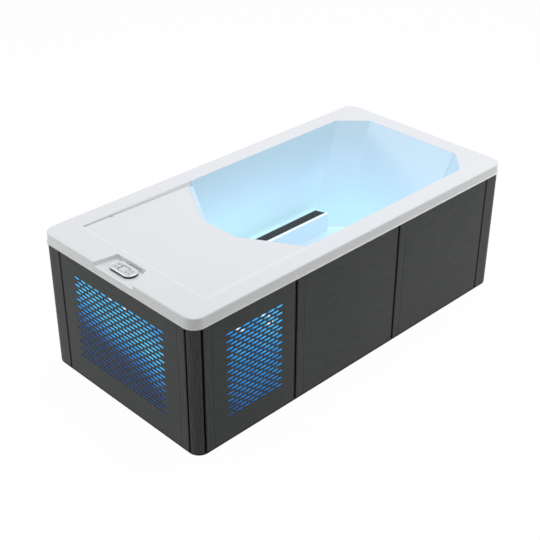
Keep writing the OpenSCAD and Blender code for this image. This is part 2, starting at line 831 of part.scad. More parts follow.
// Lit dust screens in the pockets behind the slots
module vent_screen(w) {
  translate([0, 0, -vent_t - score_w]) linear_extrude(score_w) vent_pocket(w, loose);
}
module vent_screens() {
  color("deepskyblue") {
    bay_end_mirror() vent_screen(span(bay_end_grooves, 0));
    on_front(front_grooves[0]) vent_screen(span(front_grooves, 0));
    on_rear(rear_grooves[1]) vent_screen(span(rear_grooves, 0));
  }
}

// Light strips along the top of each pocket, behind the screens
module led_strip(w) {
  ph = (vent_rows - 1) * row_pitch + slot_h + vent_frame;
  translate([0, 0, -panel_t]) linear_extrude(panel_t - vent_t - score_w) intersection() {
    vent_pocket(w, loose);
    translate([0, vent_low + (vent_rows - 1) * row_pitch / 2 + ph / 2 - vent_frame / 2]) square([w, ph]);
  }
}
module led_strips() {
  color("white") {
    bay_end_mirror() led_strip(span(bay_end_grooves, 0));
    on_front(front_grooves[0]) led_strip(span(front_grooves, 0));
    on_rear(rear_grooves[1]) led_strip(span(rear_grooves, 0));
  }
}

module basin_light() {
  color("lightcyan") on_foot_wall(0, light_z) {
    cylinder(h = light_t, d1 = light_d, d2 = light_d - 2 * light_t);
    translate([0, 0, -light_body_l]) cylinder(h = light_body_l + over, d = light_body_d);
  }
}

// Bars and slots of the intake grille
module intake_grille() {
  pitch = grille_slot + grille_bar;
  n = floor((grille_w - 2 * grille_bar) / pitch);
  len = (grille_x1 - grille_x0 - 4 * channel_w / 2) / 4;
  color("dimgray") translate([0, 0, ledge_z - grille_t]) linear_extrude(grille_t) difference() {
    grille_plan(0);
    for (k = [0:3]) for (i = [0:n - 1])
      translate([grille_x0 + channel_w / 2 + k * (len + channel_w / 2), channel_y + (i - (n - 1) / 2) * pitch - grille_slot / 2])
        square([len, grille_slot]);
  }
}

module return_jets() {
  color("whitesmoke") for (s = [-1, 1]) on_foot_wall(s * jet_y, jet_z) difference() {
    union() {
      cylinder(h = jet_flange_t, d1 = jet_flange_d, d2 = jet_flange_d - 2 * jet_flange_t);
      translate([0, 0, -skin_t - jet_flange_t]) cylinder(h = skin_t + 2 * jet_flange_t, d = jet_body_d);
    }
    translate([0, 0, -skin_t - jet_flange_t - over]) cylinder(h = skin_t + 3 * jet_flange_t, d = jet_nozzle_d);
  }
}

module drain_fitting() {
  color("silver") translate([drain_x, 0, floor_z]) difference() {
    union() {
      cylinder(h = drain_flange_t, d = drain_flange_d);
      translate([0, 0, -skin_t - drain_flange_t]) cylinder(h = skin_t + 2 * drain_flange_t, d = drain_bore_d - 2 * loose);
    }
    translate([0, 0, -skin_t - drain_flange_t - over]) cylinder(h = skin_t + 3 * drain_flange_t + over, d = drain_hole_d);
  }
}

module drain_plug() {
  color("dimgray") translate([drain_x, 0, floor_z + drain_flange_t]) {
    cylinder(h = plug_t, d1 = plug_d, d2 = plug_d - plug_t);
    translate([0, 0, -plug_stem_l / 2]) cylinder(h = plug_stem_l / 2 + over, d = plug_stem_d);
    translate([0, 0, plug_t - over]) cylinder(h = over + plug_t, d = plug_stem_d / 2);
  }
}

module equipment_tray() {
  l = tray_x1 + frame_x - tray_in;
  w = 2 * (frame_y - tube_s - tray_in);
  color("lightgray") translate([tray_in - frame_x, -w / 2, frame_z1]) difference() {
    cube([l, w, tray_lip]);
    translate([tray_t, tray_t, tray_t]) cube([l - 2 * tray_t, w - 2 * tray_t, tray_lip]);
  }
}

// Children turn about the fan's axis, with +Z towards the coil
module at_fan() {
  translate([shroud_x, fan_y, fan_z]) rotate([0, 90, 0]) children();
}

module fan_shroud() {
  ring_d = fan_d + 2 * fan_tip_gap;
  color("darkslategray") difference() {
    union() {
      translate([shroud_x, fan_y - coil_w / 2, tray_top]) cube([shroud_t, coil_w, coil_h]);
      at_fan() cylinder(h = ring_l, d = ring_d + 2 * ring_t);
    }
    at_fan() translate([0, 0, -over]) cylinder(h = ring_l + 2 * over, d = ring_d);
  }
  // Arms that carry the motor
  color("darkslategray") at_fan() translate([0, 0, ring_l - arm_t]) difference() {
    for (a = [45, 135]) rotate([0, 0, a]) translate([-ring_d / 2 - ring_t / 2, -arm_w / 2, 0])
      cube([ring_d + ring_t, arm_w, arm_t]);
    translate([0, 0, -over]) cylinder(h = arm_t + 2 * over, d = fan_motor_d / 2);
  }
}

module fan_motor() {
  color("gray") at_fan() {
    translate([0, 0, ring_l]) cylinder(h = fan_motor_l, d = fan_motor_d);
    translate([0, 0, ring_l - arm_t - motor_run]) cylinder(h = arm_t + motor_run + over, d = fan_motor_d / 2 - 2 * loose);
    translate([0, 0, blade_front]) cylinder(h = ring_l - blade_front, d = fan_shaft_d);
  }
}

module fan_rotor() {
  hub_z = ring_l - arm_t - motor_run - loose - hub_l;
  color("black") at_fan() difference() {
    union() {
      translate([0, 0, hub_z]) cylinder(h = hub_l, d = hub_d);
      intersection() {
        translate([0, 0, hub_z]) cylinder(h = hub_l, d = fan_d);
        for (i = [0:fan_blades - 1]) rotate([0, 0, 360 * i / fan_blades])
          translate([0, 0, hub_z + hub_l / 2]) rotate([blade_pitch, 0, 0])
            translate([hub_d / 4, -blade_chord / 2, -blade_t / 2]) cube([fan_d / 2, blade_chord, blade_t]);
      }
    }
    translate([0, 0, -over]) cylinder(h = ring_l, d = fan_shaft_d + 2 * shaft_fit);
  }
}

module condenser_coil() {
  pitch = coil_h / (coil_rows + 1);
  color("silver") {
    translate([coil_x, fan_y - coil_w / 2, tray_top]) cube([coil_t, coil_w, coil_h]);
    // Return bends at the rear side
    for (i = [1:2:coil_rows - 1]) translate([coil_x + coil_t / 2, fan_y + coil_w / 2, tray_top + (i + 1 / 2) * pitch])
      rotate([0, 90, 0]) rotate_extrude(angle = 180) translate([pitch / 2, 0]) circle(bend_d / 2);
  }
}

module compressor() {
  color("black") translate([comp_x, comp_y, tray_top]) {
    for (sx = [-1, 1], sy = [-1, 1])
      translate([sx * (comp_foot / 2 - comp_foot_in), sy * (comp_foot / 2 - comp_foot_in), 0])
        cylinder(h = comp_mount_h, d = comp_mount_d);
    translate([-comp_foot / 2, -comp_foot / 2, comp_mount_h]) cube([comp_foot, comp_foot, comp_foot_t]);
    translate([0, 0, comp_mount_h + comp_foot_t]) {
      cylinder(h = comp_h, d = comp_d);
      translate([0, 0, comp_h]) cylinder(h = comp_dome, d1 = comp_d, d2 = comp_d / 2);
    }
  }
}

// Titanium coil in its plastic drum, with two water ports towards the basin
hx_port_zs = [pressure_z, jet_z];
module heat_exchanger() {
  color("dimgray") translate([hx_x, hx_y, tray_top]) difference() {
    union() {
      cylinder(h = hx_h, d = hx_d);
      for (z = [0, hx_h - hx_cap_t]) translate([0, 0, z]) cylinder(h = hx_cap_t, d = hx_cap_d);
      for (z = hx_port_zs) translate([0, 0, z - tray_top]) rotate([0, 90, 0]) cylinder(h = hx_cap_d / 2 + over, d = port_d);
    }
    for (z = hx_port_zs) translate([hx_d / 4, 0, z - tray_top]) rotate([0, 90, 0])
      cylinder(h = hx_cap_d / 2, d = bore_d);
  }
}

filter_z = tray_top + filter_foot;
module filter_housing() {
  color("dimgray") translate([filter_x, filter_y, tray_top]) difference() {
    union() {
      cylinder(h = filter_foot, d1 = filter_d - filter_foot, d2 = filter_d);
      translate([0, 0, filter_foot]) cylinder(h = filter_h, d = filter_d);
      translate([0, 0, low_z - tray_top]) rotate([0, 90, 0]) cylinder(h = filter_d / 2 + over, d = port_d);
      translate([0, 0, pump_z - tray_top]) rotate([90, 0, 0]) cylinder(h = filter_d / 2 + over, d = port_d);
    }
    translate([0, 0, filter_foot + filter_wall]) cylinder(h = filter_h, d = filter_d - 2 * filter_wall);
    translate([filter_d / 4, 0, low_z - tray_top]) rotate([0, 90, 0]) cylinder(h = filter_d, d = bore_d);
    translate([0, -filter_d / 4, pump_z - tray_top]) rotate([90, 0, 0]) cylinder(h = filter_d, d = bore_d);
  }
}

// Twist lid, its skirt outside the housing's mouth
module filter_lid() {
  z = filter_z + filter_h;
  color("black") translate([filter_x, filter_y, z + loose - lid_h + lid_top]) difference() {
    union() {
      cylinder(h = lid_h, d = lid_d);
      translate([-lid_d / 2 + lid_top, -lid_grip_w / 2, lid_h - over]) cube([lid_d - 2 * lid_top, lid_grip_w, lid_grip_h + over]);
    }
    translate([0, 0, -over]) cylinder(h = lid_h - lid_top + over, d = filter_d + 2 * loose);
  }
}

module filter_cartridge() {
  z = filter_z + filter_wall;
  color("white") translate([filter_x, filter_y, z]) difference() {
    union() {
      for (k = [0, cart_h - cart_cap_t]) translate([0, 0, k]) cylinder(h = cart_cap_t, d = cart_d);
      // Pleats as a ring of shallow wedges
      linear_extrude(cart_h) polygon([for (i = [0:2 * cart_pleats - 1])
        (i % 2 == 0 ? cart_d / 2 - over : cart_d / 2 - cart_cap_t) * [cos(180 * i / cart_pleats), sin(180 * i / cart_pleats)]]);
    }
    translate([0, 0, -over]) cylinder(h = cart_h + 2 * over, d = cart_bore_d);
  }
}

// Children turn about the pump's axis, with +Z towards its inlet and zero at the motor's face
module at_pump() {
  translate([volute_x - volute_l / 2, pump_y, pump_z]) rotate([0, 90, 0]) children();
}

module pump_motor() {
  color("royalblue") {
    at_pump() {
      translate([0, 0, -motor_l]) cylinder(h = motor_l, d = motor_d);
      for (i = [0:fin_count - 1]) rotate([0, 0, 360 * i / fin_count]) translate([motor_d / 2 - over, -fin_t / 2, -motor_l + 2 * fin_h])
        cube([fin_h + over, fin_t, motor_l - 4 * fin_h]);
      cylinder(h = volute_wall, d = motor_boss_d);
      cylinder(h = volute_wall + impeller_t + vane_h, d = pump_shaft_d);
    }
    translate([volute_x - volute_l / 2 - motor_l / 2 - motor_foot_l / 2, pump_y - motor_foot_w / 2, tray_top])
      cube([motor_foot_l, motor_foot_w, motor_foot_t]);
    translate([volute_x - volute_l / 2 - motor_l / 2 - motor_foot_l / 4, pump_y - motor_foot_w / 4, tray_top])
      cube([motor_foot_l / 2, motor_foot_w / 2, pump_z - tray_top - motor_d / 4]);
  }
}

module pump_impeller() {
  z0 = volute_wall + over;
  color("ivory") at_pump() difference() {
    union() {
      translate([0, 0, z0]) cylinder(h = impeller_t, d = impeller_d);
      translate([0, 0, z0]) cylinder(h = impeller_t + vane_h, d = 2 * pump_shaft_d);
      for (i = [0:vane_count - 1]) rotate([0, 0, 360 * i / vane_count])
        translate([3 * pump_shaft_d / 4, -vane_t / 2, z0 + impeller_t / 2])
          cube([(impeller_d - 2 * pump_shaft_d) / 2, vane_t, impeller_t / 2 + vane_h - over]);
    }
    translate([0, 0, -over]) cylinder(h = volute_l, d = pump_shaft_d + 2 * shaft_fit);
  }
}

module pump_volute() {
  chamber_d = volute_d - 2 * volute_wall;
  color("dimgray") difference() {
    union() {
      at_pump() {
        cylinder(h = volute_l, d = volute_d);
        cylinder(h = volute_l + port_l, d = port_d);
      }
      translate([volute_x, pump_y, pump_z]) cylinder(h = volute_d / 2 + port_l, d = port_d);
      translate([volute_x - volute_l / 2 + volute_wall, pump_y - volute_d / 4, tray_top])
        cube([volute_l - 2 * volute_wall, volute_d / 2, pump_z - tray_top - volute_d / 4]);
    }
    at_pump() {
      translate([0, 0, -over]) cylinder(h = volute_wall + 2 * over, d = motor_boss_d + 2 * loose);
      translate([0, 0, volute_wall]) cylinder(h = volute_l - 2 * volute_wall, d = chamber_d);
      translate([0, 0, volute_l / 2]) cylinder(h = volute_l, d = bore_d);
    }
    translate([volute_x, pump_y, pump_z]) cylinder(h = volute_d, d = bore_d);
  }
}

// Water pipes, each run a solid of its own
filter_port_x = filter_x + filter_d / 2 + over;
filter_port_y = filter_y - filter_d / 2 - over;
pump_port_x = volute_x + volute_l / 2 + port_l;
hx_port_x = hx_x + hx_cap_d / 2 + over;
intake_z = ledge_z - channel_d - skin_t;
module water_pipes() {
  side_x = pump_port_x + pipe_d;
  mid_y = (filter_port_y + pump_y + volute_d / 2) / 2;
  jet_reach = skin_t + 2 * jet_flange_t;
  jet_back = [foot_wall_x(jet_z) - jet_reach * cos(foot_angle), jet_z - jet_reach * sin(foot_angle)];
  color("lightgray") {
    run([[intake_x, channel_y, intake_z], [intake_x, channel_y, low_z], [riser_x, channel_y, low_z],
      [riser_x, filter_y, low_z], [filter_port_x, filter_y, low_z]], pipe_d, pipe_wall);
    run([[filter_x, filter_port_y, pump_z], [filter_x, mid_y, pump_z], [side_x, mid_y, pump_z],
      [side_x, pump_y, pump_z], [pump_port_x, pump_y, pump_z]], pipe_d, pipe_wall);
    run([[volute_x, pump_y, pump_port_z], [volute_x, pump_y, pressure_z], [riser_x, pump_y, pressure_z],
      [riser_x, hx_y, pressure_z], [hx_port_x, hx_y, pressure_z]], pipe_d, pipe_wall);
    difference() {
      union() {
        run([[hx_port_x, hx_y, jet_z], [riser_x, hx_y, jet_z], [riser_x, -jet_y - pipe_d, jet_z]], pipe_d, pipe_wall);
        for (s = [-1, 1]) rod([riser_x, s * jet_y, jet_z], [jet_back[0], s * jet_y, jet_back[1]], jet_nozzle_d + pipe_wall);
      }
      for (s = [-1, 1]) rod([riser_x, s * jet_y, jet_z], [jet_back[0] + over, s * jet_y, jet_back[1]], jet_nozzle_d - pipe_wall);
    }
    run([[drain_x, 0, floor_z - skin_t - drain_flange_t], [drain_x, 0, drain_z], [drain_x, valve_y - valve_l, drain_z],
      [valve_x, valve_y - valve_l, drain_z], [valve_x, valve_y, drain_z]], drain_pipe_d, pipe_wall);
  }
}

// Copper lines between the compressor, the coil and the heat exchanger
module refrigerant_pipes() {
  z1 = tray_top + comp_mount_h + comp_foot_t + comp_h / 2;
  comp_top = tray_top + comp_mount_h + comp_foot_t + comp_h + comp_dome;
  top_z = tray_top + coil_h - bend_r;
  low = tray_top + bend_r;
  coil_back = coil_x + coil_t;
  color("peru") {
    run([[comp_x, comp_y, comp_top], [comp_x, comp_y, top_z], [coil_back, comp_y, top_z]], copper_d, copper_wall);
    run([[coil_back, comp_y - comp_d / 2 - port_l, low], [comp_x, comp_y - comp_d / 2 - port_l, low],
      [hx_x, comp_y - comp_d / 2 - port_l, low], [hx_x, hx_y - hx_cap_d / 2, low]], copper_d, copper_wall);
    run([[hx_x - hx_d / 2, hx_y, z1 + comp_d], [comp_x, hx_y, z1 + comp_d], [comp_x, hx_y, comp_top]], copper_d, copper_wall);
  }
}

module drain_valve() {
  color("whitesmoke") translate([valve_x, valve_y, drain_z]) rotate([-90, 0, 0]) difference() {
    union() {
      cylinder(h = valve_l, d = valve_d);
      cylinder(h = valve_l + tube_s + batten_t + panel_t + spout_l, d = spout_d);
      rotate([90, 0, 0]) translate([0, valve_l / 2, 0]) cylinder(h = valve_d / 2 + stem_h, d = 2 * stem_d);
    }
    translate([0, 0, -over])
      cylinder(h = valve_l + tube_s + batten_t + panel_t + spout_l + 2 * over, d = drain_pipe_d - 2 * pipe_wall);
  }
}

// The lever lies along the valve when open
module valve_handle() {
  z = drain_z + valve_d / 2 + stem_h;
  color("firebrick") translate([valve_x, valve_y + valve_l / 2, z]) {
    cylinder(h = handle_t, d = 2 * stem_d + handle_t);
    translate([-handle_w / 2, -handle_l, 0]) cube([handle_w, handle_l, handle_t]);
  }
}

module control_box() {
  color("darkgray") {
    translate([box_x, box_y, tray_top]) cube([box_l - box_lid_t - box_lid_gap, box_w, box_h]);
    translate([box_x + box_l - box_lid_t, box_y - box_lid_gap, tray_top]) cube([box_lid_t, box_w + 2 * box_lid_gap, box_h + box_lid_gap]);
    translate([box_x + box_l - box_lid_t - box_lid_gap - over, box_y + box_lid_t, tray_top + box_lid_t])
      cube([box_lid_gap + 2 * over, box_w - 2 * box_lid_t, box_h - 2 * box_lid_t]);
    // Ozone generator in the corner on the other side of the fan
    translate([box_x, pump_y - ozone_w, tray_top]) cube([ozone_l, ozone_w, ozone_h]);
  }
}

module power_inlet() {
  color("black") translate([inlet_x, clad_y, inlet_z]) rotate([-90, 0, 0]) difference() {
    union() {
      cylinder(h = rim_over - over, d = inlet_d);
      translate([0, 0, -panel_t - inlet_l]) cylinder(h = panel_t + inlet_l + over, d = inlet_d - inlet_l);
    }
    translate([0, 0, -panel_t - inlet_l - over]) cylinder(h = panel_t + 2 * inlet_l, d = copper_d);
  }
}

acrylic_shell();
deck_cover();
keypad_body();
keypad_gasket();
keypad_screen();
keypad_board();
button(0);  // button_1
button(1);  // button_2
button(2);  // button_3
button(3);  // button_4
button(4);  // button_5
button(5);  // button_6
button(6);  // button_7
button(7);  // button_8
base_pan();
base_frame();
frame_uprights();
top_frame();
basin_supports();
insulation_boards();
panel_battens();
post_front_bay();
post_front_head();
post_rear_bay();
post_rear_head();
end_vent_panel();
front_vent_panel();
front_mid_panel();
front_head_panel();
head_end_panel();
rear_vent_panel();
rear_mid_panel();
rear_head_panel();
vent_screens();
led_strips();
basin_light();
intake_grille();
return_jets();
drain_fitting();
drain_plug();
equipment_tray();
fan_shroud();
fan_motor();
fan_rotor();
condenser_coil();
compressor();
heat_exchanger();
filter_housing();
filter_lid();
filter_cartridge();
pump_motor();
pump_impeller();
pump_volute();
water_pipes();
refrigerant_pipes();
drain_valve();
valve_handle();
control_box();
power_inlet();
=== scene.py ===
"""Looks of the cold plunge tub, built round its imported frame."""

import math

import bpy
from mathutils import Matrix, Vector


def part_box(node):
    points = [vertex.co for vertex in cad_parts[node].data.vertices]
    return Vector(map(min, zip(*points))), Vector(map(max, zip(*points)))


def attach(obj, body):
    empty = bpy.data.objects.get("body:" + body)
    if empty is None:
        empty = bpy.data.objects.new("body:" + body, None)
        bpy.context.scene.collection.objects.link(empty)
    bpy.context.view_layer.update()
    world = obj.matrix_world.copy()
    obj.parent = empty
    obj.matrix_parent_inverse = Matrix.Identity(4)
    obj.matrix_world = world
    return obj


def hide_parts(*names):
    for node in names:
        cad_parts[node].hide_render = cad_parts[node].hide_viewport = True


bl_info = {
    "name": "Cold plunge tub",
    "version": (1, 0, 0),
    "blender": (4, 5, 0),
    "location": "View3D > Sidebar > Tub",
    "description": "Models and finishes the pieces of a cold plunge tub",
    "category": "Object",
}

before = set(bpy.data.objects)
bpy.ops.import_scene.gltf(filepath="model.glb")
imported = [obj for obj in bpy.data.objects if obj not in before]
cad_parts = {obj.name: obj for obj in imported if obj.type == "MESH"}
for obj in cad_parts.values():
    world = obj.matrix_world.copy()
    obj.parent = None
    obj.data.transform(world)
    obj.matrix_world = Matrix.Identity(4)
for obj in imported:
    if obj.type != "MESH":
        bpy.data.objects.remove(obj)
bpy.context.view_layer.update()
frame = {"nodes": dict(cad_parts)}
HALF_L, HALF_W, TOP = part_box("acrylic_shell")[1]
CENTRE = (0, 0)

# Lines of the basin and the deck, in metres, as in the frame
SKIRT_Z = 0.626
SKIN = 0.008
MOUTH_HW = 0.403
HEAD_X = 0.904
MOUTH_CHAMFER = 0.125
FLOOR_Z = 0.146
BACKREST_RUN, SIDE_RUN, FOOT_RUN = 0.226, 0.055, 0.065
RECESS_X, DECK_X, DECK_HW, DECK_GAP = -0.848, -0.242, 0.399, 0.004
NOTCH_D, NOTCH_HALF = 0.178, 0.105
FOOT_X = DECK_X - NOTCH_D
SEAT_Z, SEAT_LIP, SEAT_W = TOP - 0.029, 0.018, 0.028
LEDGE_Z, LEDGE_X, LEDGE_W, LEDGE_SKEW = 0.25, 0.596, 0.091, 0.014
CHANNEL_Y, GRILLE_SKEW = 0.3083, 0.02
POCKET_Z, POCKET_X = TOP - 0.02, -0.883
POCKET_BACK, POCKET_FRONT = (-0.08, 0.104), (-0.1376, 0.1253)
JET_Z, LIGHT_Z = TOP - 0.24, TOP - 0.34
CLAD_X, CLAD_Y, CLAD_Z, CLAD_TOP = 0.995, 0.495, 0.006, 0.622
POST_WALL, STILE_W = 0.012, 0.045
DECK_DROP, DECK_FALL = 0.006, 0.011
FINGER_R, JET_R, LAMP_R, DRAIN_R, INTAKE_R = 0.008, 0.02, 0.0303, 0.023, 0.013

# Corners in plan and how many flats each is drawn with
SKIRT_ROUND, LIP_ROUND, UNDER_ROUND, POST_ROUND, CORNER_STEPS = 0.058, 0.06, 0.052, 0.055, 16
RIM_STEPS = 7

# Keypad: half sizes of its case, window, frame and screen, and the sizes of a key
CASE_HX, CASE_HY, CASE_PLAY = 0.025, 0.056, 0.002
WINDOW_H, FRAME_H, FRAME_IN, SCREEN_H = 0.020, 0.0197, 0.0177, 0.0175
PLATE_ROUND, BEZEL, WINDOW_DEEP = 0.030, 0.0022, 0.0022
KEY_R, KEY_HOLE_R, FLANGE_R, FLANGE_H = 0.0050, 0.00515, 0.006, 0.0012

# Rows of the vents, how far the screens seem to shift behind them, which places the painted slot shade, and
# the points that shine white
SLOT_PITCH, ROW_PITCH, VENT_LOW_Z, SLOT_SINK = 0.046, 0.0184, 0.130, 0.005
VENT_POINTS = (
    (-0.992, 0.034, 0.531), (-0.992, -0.063, 0.534), (-0.6215, -0.492, 0.5316), (-0.7615, -0.492, 0.534),
    (-0.7367, -0.492, 0.5134), (-0.589, -0.492, 0.5112), (-0.5724, -0.492, 0.4807), (-0.589, -0.492, 0.4772),
)

# Camera: lens in mm, place in metres, turns about Z, X and Z in degrees
LENS, SENSOR = 73.28, 36
CAMERA_AT, CAMERA_TURNS = (-3.1953, -3.1417, 3.0013), ((-44.58, "Z"), (58.61, "X"), (0.18, "Z"))

# Light of the world, the floor's own white and its share, and plain colours
WORLD_LEVEL, FLOOR_LEVEL, FLOOR_SHARE = 0.32, 1.04, 0.93
WHITE, BLACK = (1, 1, 1, 1), (0, 0, 0, 1)

# Lamps: name, place, aim, size in metres and power in watts
LAMPS = (
    ("key_lamp", (0.4, 0.2, 4.4), (0.1, 0, 0.4), 3.4, 99),
    ("side_lamp", (4.1, -2.3, 1.8), (0.5, -0.4, 0.4), 2.2, 48),
    ("left_lamp", (-4.0, 2.6, 1.8), (-0.9, 0.2, 0.4), 2.2, 44),
    ("edge_lamp", (3.0, -2.7, 3.4), (0.0, -0.5, 0.6), 1.0, 14),
)


def notch_x(y, d):
    """Place along the tub of the deck's notch line, moved by d towards the basin."""
    dy = DECK_HW - NOTCH_HALF
    return FOOT_X + (y - NOTCH_HALF) * NOTCH_D / dy + d * math.hypot(NOTCH_D, dy) / dy


def notch_y(d):
    """Half width of the notch's straight bottom, moved by d towards the basin."""
    dy = DECK_HW - NOTCH_HALF
    return NOTCH_HALF + (d - d * math.hypot(NOTCH_D, dy) / dy) * dy / NOTCH_D


def basin_ring(hw, far, d):
    """The eight corners of the basin at one height."""
    c = MOUTH_CHAMFER
    return [
        (far - c, hw), (far, hw - c), (far, c - hw), (far - c, -hw),
        (notch_x(hw, d), -hw), (FOOT_X + d, -notch_y(d)), (FOOT_X + d, notch_y(d)), (notch_x(hw, d), hw),
    ]


def side_wall_y(z):
    """Inner face of the basin's rear wall at a height."""
    return MOUTH_HW - SIDE_RUN * (TOP - z) / (TOP - FLOOR_Z)


def foot_wall_x(z):
    """Inner face of the basin's foot wall at a height."""
    return FOOT_X + SEAT_LIP + FOOT_RUN * (TOP - z) / (TOP - FLOOR_Z)


FOOT_ANGLE = math.atan(FOOT_RUN / (TOP - FLOOR_Z))


# Selecting and shaping, as by hand

def only(*pieces):
    """Selects these pieces alone."""
    bpy.ops.object.select_all(action="DESELECT")
    for piece in pieces:
        piece.select_set(True)
    bpy.context.view_layer.objects.active = pieces[0]


def settle(piece):
    """Puts the piece's place into its mesh."""
    only(piece)
    bpy.ops.object.transform_apply(location=True, rotation=True, scale=True)
    return piece


def start(name, primitive, **how):
    """Adds a primitive under a name, with nothing else selected."""
    bpy.ops.object.select_all(action="DESELECT")
    primitive(**how)
    piece = bpy.context.object
    piece.name = name
    return piece


def block(name, low, high):
    """A box between two corners."""
    low, high = Vector(low), Vector(high)
    return settle(start(name, bpy.ops.mesh.primitive_cube_add,
                        size=1, location=(low + high) / 2, scale=high - low))


def slab(name, middle, half, low, high):
    """A box round an upright line, from one height to another, with half its length and half its width."""
    return block(name, (middle[0] - half[0], middle[1] - half[1], low),
                 (middle[0] + half[0], middle[1] + half[1], high))


def drum(name, radius, depth, base, turn=(0, 0, 0), sides=48):
    """A cylinder that stands on a point and is turned about it."""
    piece = settle(start(name, bpy.ops.mesh.primitive_cone_add, vertices=sides, radius1=radius,
                         radius2=radius, depth=depth, location=(0, 0, depth / 2)))
    piece.rotation_euler = turn
    piece.location = base
    return settle(piece)


def prism(name, corners, low, high):
    """An upright prism over a plan, its corners given in turn.
    A height may be one number or a list with one for each corner."""
    n = len(corners)
    piece = start(name, bpy.ops.mesh.primitive_cylinder_add,
                  vertices=n, radius=1, depth=2, location=(0, 0, 0))
    area = sum(a[0] * b[1] - b[0] * a[1] for a, b in zip(corners, corners[1:] + corners[:1]))
    lows = low if isinstance(low, (list, tuple)) else [low] * n
    highs = high if isinstance(high, (list, tuple)) else [high] * n
    order = list(range(n)) if area < 0 else list(range(n))[::-1]
    move_points(piece, [(corners[i][0], corners[i][1], z[i]) for i in order for z in (lows, highs)])
    return piece


def move_points(piece, places):
    """Moves each point of a new prism to its place, one at a time."""
    only(piece)
    for i, place in enumerate(places):
        bpy.ops.object.mode_set(mode="EDIT")
        bpy.ops.mesh.select_mode(type="VERT")
        bpy.ops.mesh.select_all(action="DESELECT")
        bpy.ops.object.mode_set(mode="OBJECT")
        point = piece.data.vertices[i]
        point.select = True
        step = Vector(place) - point.co
        bpy.ops.object.mode_set(mode="EDIT")
        bpy.ops.transform.translate(value=step)
        bpy.ops.object.mode_set(mode="OBJECT")


def choose_faces(piece, test):
    """Opens the piece in edit mode with the faces selected that pass a test on their middle and normal."""
    only(piece)
    bpy.ops.object.mode_set(mode="EDIT")
    bpy.ops.mesh.select_mode(type="FACE")
    bpy.ops.mesh.select_all(action="DESELECT")
    bpy.ops.object.mode_set(mode="OBJECT")
    for p in piece.data.polygons:
        p.select = test(p.center, p.normal)
    bpy.ops.object.mode_set(mode="EDIT")


def choose_sharp(piece, test, least=0.35):
    """Opens the piece in edit mode with its sharp edges selected that pass a test on their place."""
    mesh = piece.data
    sides = {}
    for p in mesh.polygons:
        for key in p.edge_keys:
            sides.setdefault(key, []).append(p.normal.copy())
    sharp = set()
    for key, normals in sides.items():
        if len(normals) == 2 and normals[0].angle(normals[1], 0) > least:
            sharp.add(key)
    only(piece)
    bpy.ops.object.mode_set(mode="EDIT")
    bpy.ops.mesh.select_mode(type="EDGE")
    bpy.ops.mesh.select_all(action="DESELECT")
    bpy.ops.object.mode_set(mode="OBJECT")
    for e in mesh.edges:
        a, b = (mesh.vertices[i].co for i in e.vertices)
        e.select = e.key in sharp and test(a, b)
    bpy.ops.object.mode_set(mode="EDIT")


def round_edges(piece, radius, steps, test, least=0.35):
    """Rounds the sharp edges that pass a test on their place."""
    choose_sharp(piece, test, least)
    bpy.ops.mesh.bevel(offset=radius, segments=steps, affect="EDGES")
    bpy.ops.object.mode_set(mode="OBJECT")


def upright(a, b):
    """An edge that stands upright."""
    return abs(a.x - b.x) < 1e-5 and abs(a.y - b.y) < 1e-5


def above(z):
    """A test for edges that lie higher than z."""
    return lambda a, b: min(a.z, b.z) > z


def split_at(piece, place, normal):
    """Divides the faces that a plane crosses, so that a hollow outline becomes plain ones."""
    choose_faces(piece, lambda c, n: True)
    bpy.ops.mesh.bisect(plane_co=place, plane_no=normal)
    bpy.ops.object.mode_set(mode="OBJECT")


def join_with(piece, other, way):
    """Cuts the other piece out of this one, adds it, or keeps what they share."""
    only(piece)
    change = piece.modifiers.new("Shape", "BOOLEAN")
    change.operation = way
    change.solver = "EXACT"
    change.object = other
    bpy.ops.object.modifier_apply(modifier=change.name)
    bpy.data.objects.remove(other)
    return piece


def cut(piece, *others):
    """Cuts other pieces out of this one."""
    for other in others:
        join_with(piece, other, "DIFFERENCE")
    return piece


def add_to(piece, *others):
    """Adds other pieces to this one."""
    for other in others:
        join_with(piece, other, "UNION")
    return piece


def soften(piece, angle=30):
    """Smooths the shading over all but the sharp edges, and keeps wide faces flat."""
    only(piece)
    bpy.ops.object.shade_smooth_by_angle(angle=math.radians(angle))
    even = piece.modifiers.new("Normals", "WEIGHTED_NORMAL")
    even.keep_sharp = True
    bpy.ops.object.modifier_apply(modifier=even.name)
    return piece


def paint(piece, *materials):
    """Gives a piece these materials in order."""
    piece.data.materials.clear()
    for m in materials:
        piece.data.materials.append(m)
    return piece


def fit(piece, body, slot, *nodes):
    """Lets a finished piece ride on its body and stand for its nodes; its slot is not used."""
    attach(piece, body)
    if nodes:
        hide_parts(*nodes)
    return piece


# Finishes

def add_node(tree, kind, inputs=None, **settings):
    """A new node with these settings. An input is given a value or another node's socket."""
    n = tree.nodes.new(kind)
    for key, value in settings.items():
        setattr(n, key, value)
    for key, value in (inputs or {}).items():
        if isinstance(value, bpy.types.NodeSocket):
            tree.links.new(value, n.inputs[key])
        else:
            n.inputs[key].default_value = value
    return n


def backdrop_rays(tree):
    """1 for the rays that find a white backdrop: the camera's, mirrored ones and those through glass."""
    rays = add_node(tree, "ShaderNodeLightPath").outputs
    shown = rays["Is Camera Ray"]
    for kind in ("Is Glossy Ray", "Is Transmission Ray"):
        shown = add_node(tree, "ShaderNodeMath", {0: shown, 1: rays[kind]}, operation="MAXIMUM").outputs[0]
    return shown


